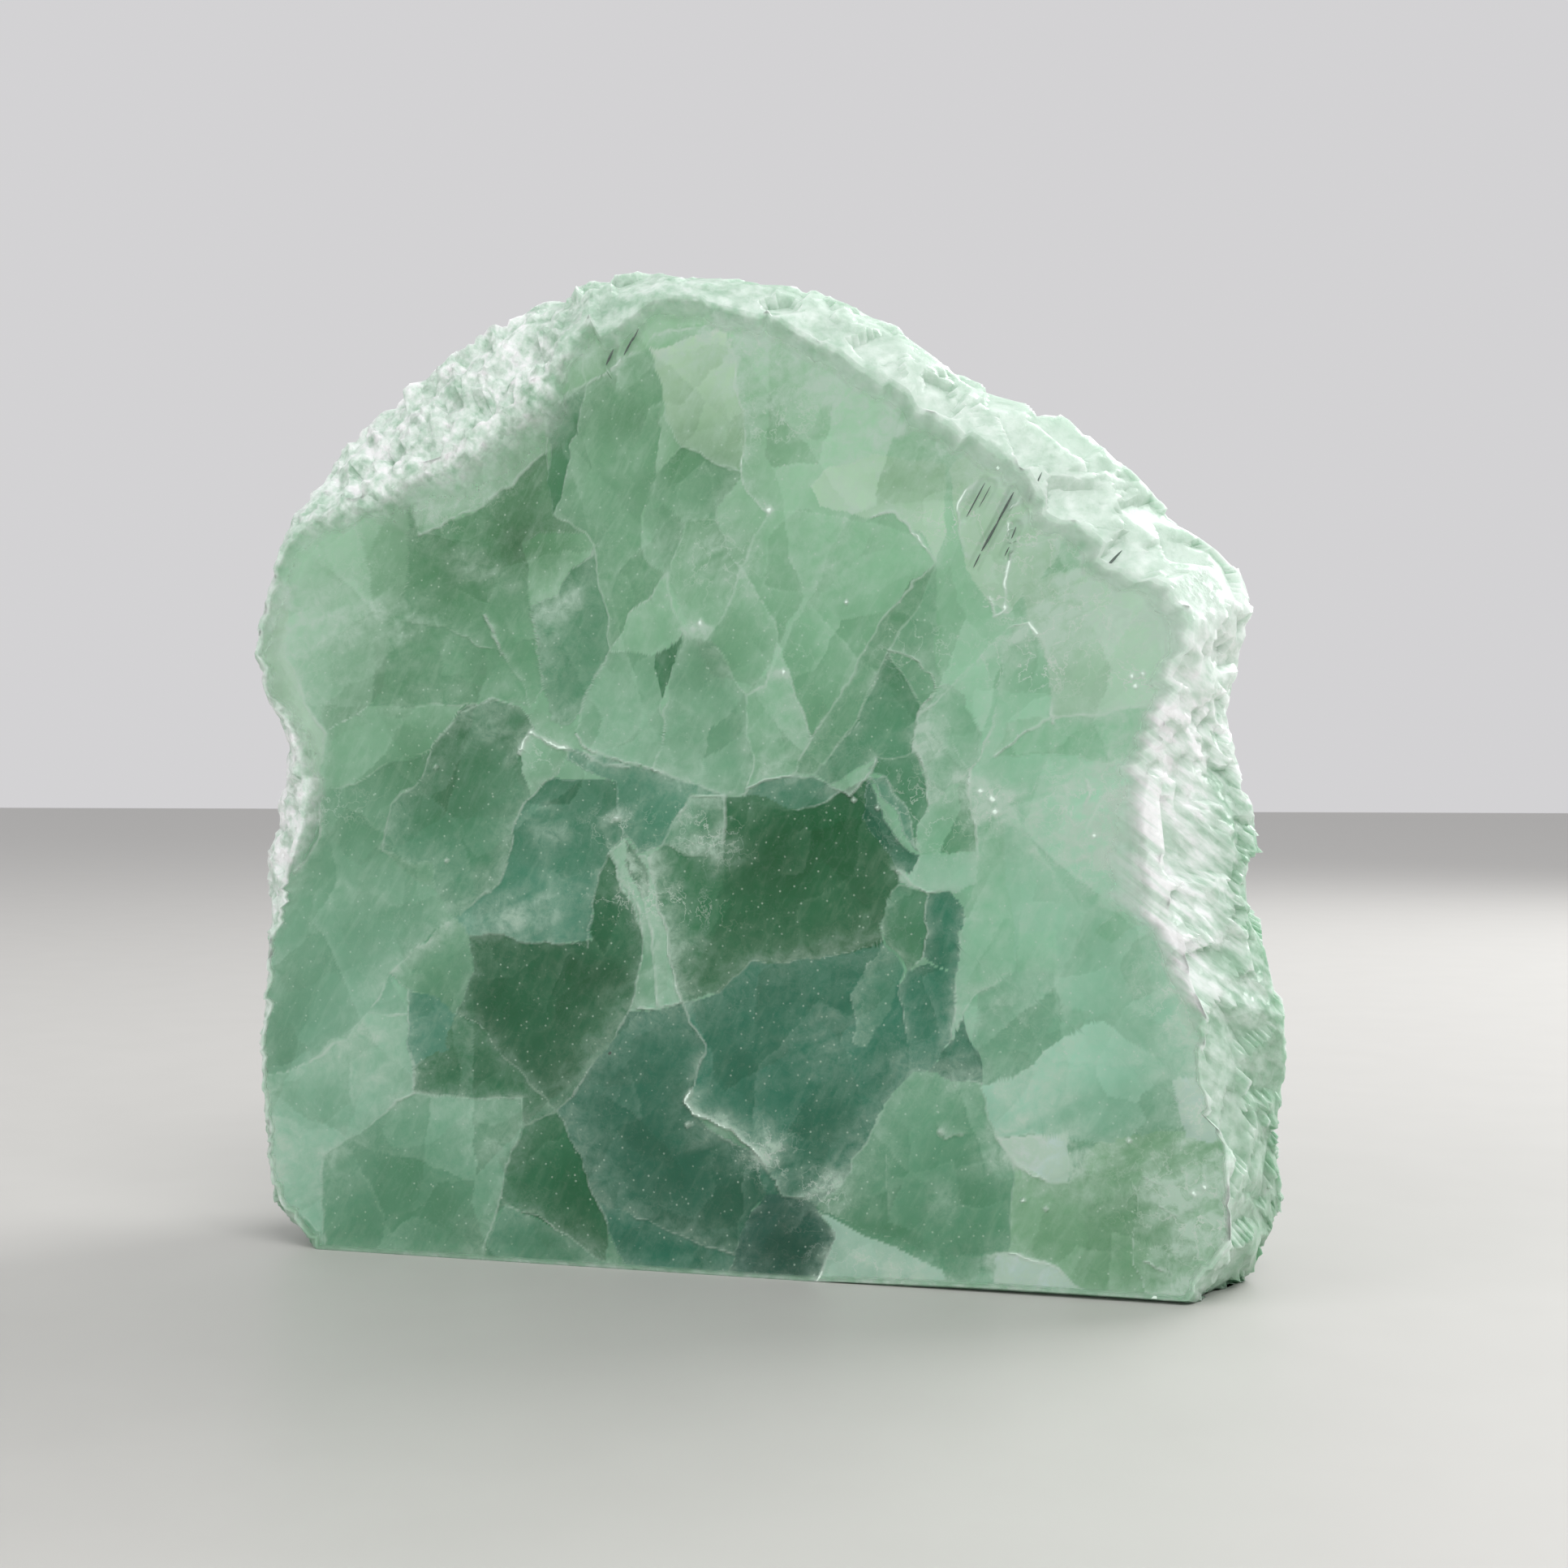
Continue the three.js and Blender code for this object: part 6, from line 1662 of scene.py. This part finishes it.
# %% [markdown]
# ## Needles and a speck
# Each needle is a slim spindle, so the set is one grid: along each needle, and round
# it, with a radius that swells and closes.

# %% Needle inclusions
NEEDLE_DEPTH = 0.12
MOTTLE = 0.6
SPINDLE_STEPS, SPINDLE_SIDES = 9, 6


def unit_rows(rows):
    return rows / np.linalg.norm(rows, axis=1, keepdims=True)


def spindles(needles):
    """Centre line from end to end, radius t/2 * sin(pi s) ** 0.5, closed at both tips."""
    along = np.linspace(0, 1, SPINDLE_STEPS)[None, :, None]
    round_way = np.arange(SPINDLE_SIDES) / SPINDLE_SIDES * 2 * math.pi
    radius = needles[:, 4, None, None] / 2 * np.sqrt(np.sin(math.pi * (0.02 + 0.96 * along)))
    x = needles[:, 0, None, None] * (1 - along) + needles[:, 2, None, None] * along
    z = needles[:, 1, None, None] * (1 - along) + needles[:, 3, None, None] * along
    way = unit_rows(needles[:, [2, 3]] - needles[:, [0, 1]])
    points = np.stack([
        x + radius * np.cos(round_way) * way[:, 1, None, None],
        POLISHED_FACE_Y + NEEDLE_DEPTH + 0.6 * radius * np.sin(round_way) + 0 * x,
        z - radius * np.cos(round_way) * way[:, 0, None, None],
    ], axis=-1)
    faces = []
    for number in range(len(needles)):
        base = number * SPINDLE_STEPS * SPINDLE_SIDES
        ring = np.arange(SPINDLE_SIDES)
        for step in range(SPINDLE_STEPS - 1):
            low = base + step * SPINDLE_SIDES + ring
            high = low + SPINDLE_SIDES
            faces += np.stack([low, np.roll(low, -1), np.roll(high, -1), high], axis=1).tolist()
        last = base + (SPINDLE_STEPS - 1) * SPINDLE_SIDES + ring
        faces += [(base + ring)[::-1].tolist(), last.tolist()]
    return points.reshape(-1, 3), faces


needles = mesh_piece("needle_inclusions", *spindles(NEEDLES))
needles.data.flip_normals()
needle_mineral, output = new_material("dark_needle_mineral")
place = add_node(needle_mineral, "ShaderNodeTexCoord").outputs["Object"]
mottle = noise(needle_mineral, place, per_metre(MOTTLE), 2.0)
# Grown before the fluorite closed round it, and never worked.
dark = add_node(needle_mineral, "ShaderNodeBsdfPrincipled", {
    "Roughness": 0.4,
    "IOR": 1.63,
    "Base Color": mixed(needle_mineral, mottle, "#3B4A42", "#7C8C84"),
})
needle_mineral.node_tree.links.new(dark.outputs[0], output.inputs["Surface"])
needles.data.materials.append(needle_mineral)
print("needles:", len(needles.data.polygons), "faces")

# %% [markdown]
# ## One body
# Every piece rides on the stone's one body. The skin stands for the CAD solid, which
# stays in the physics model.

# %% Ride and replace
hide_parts("fluorite_freeform")
for piece in [skin, *veils, needles]:
    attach(piece, "root")
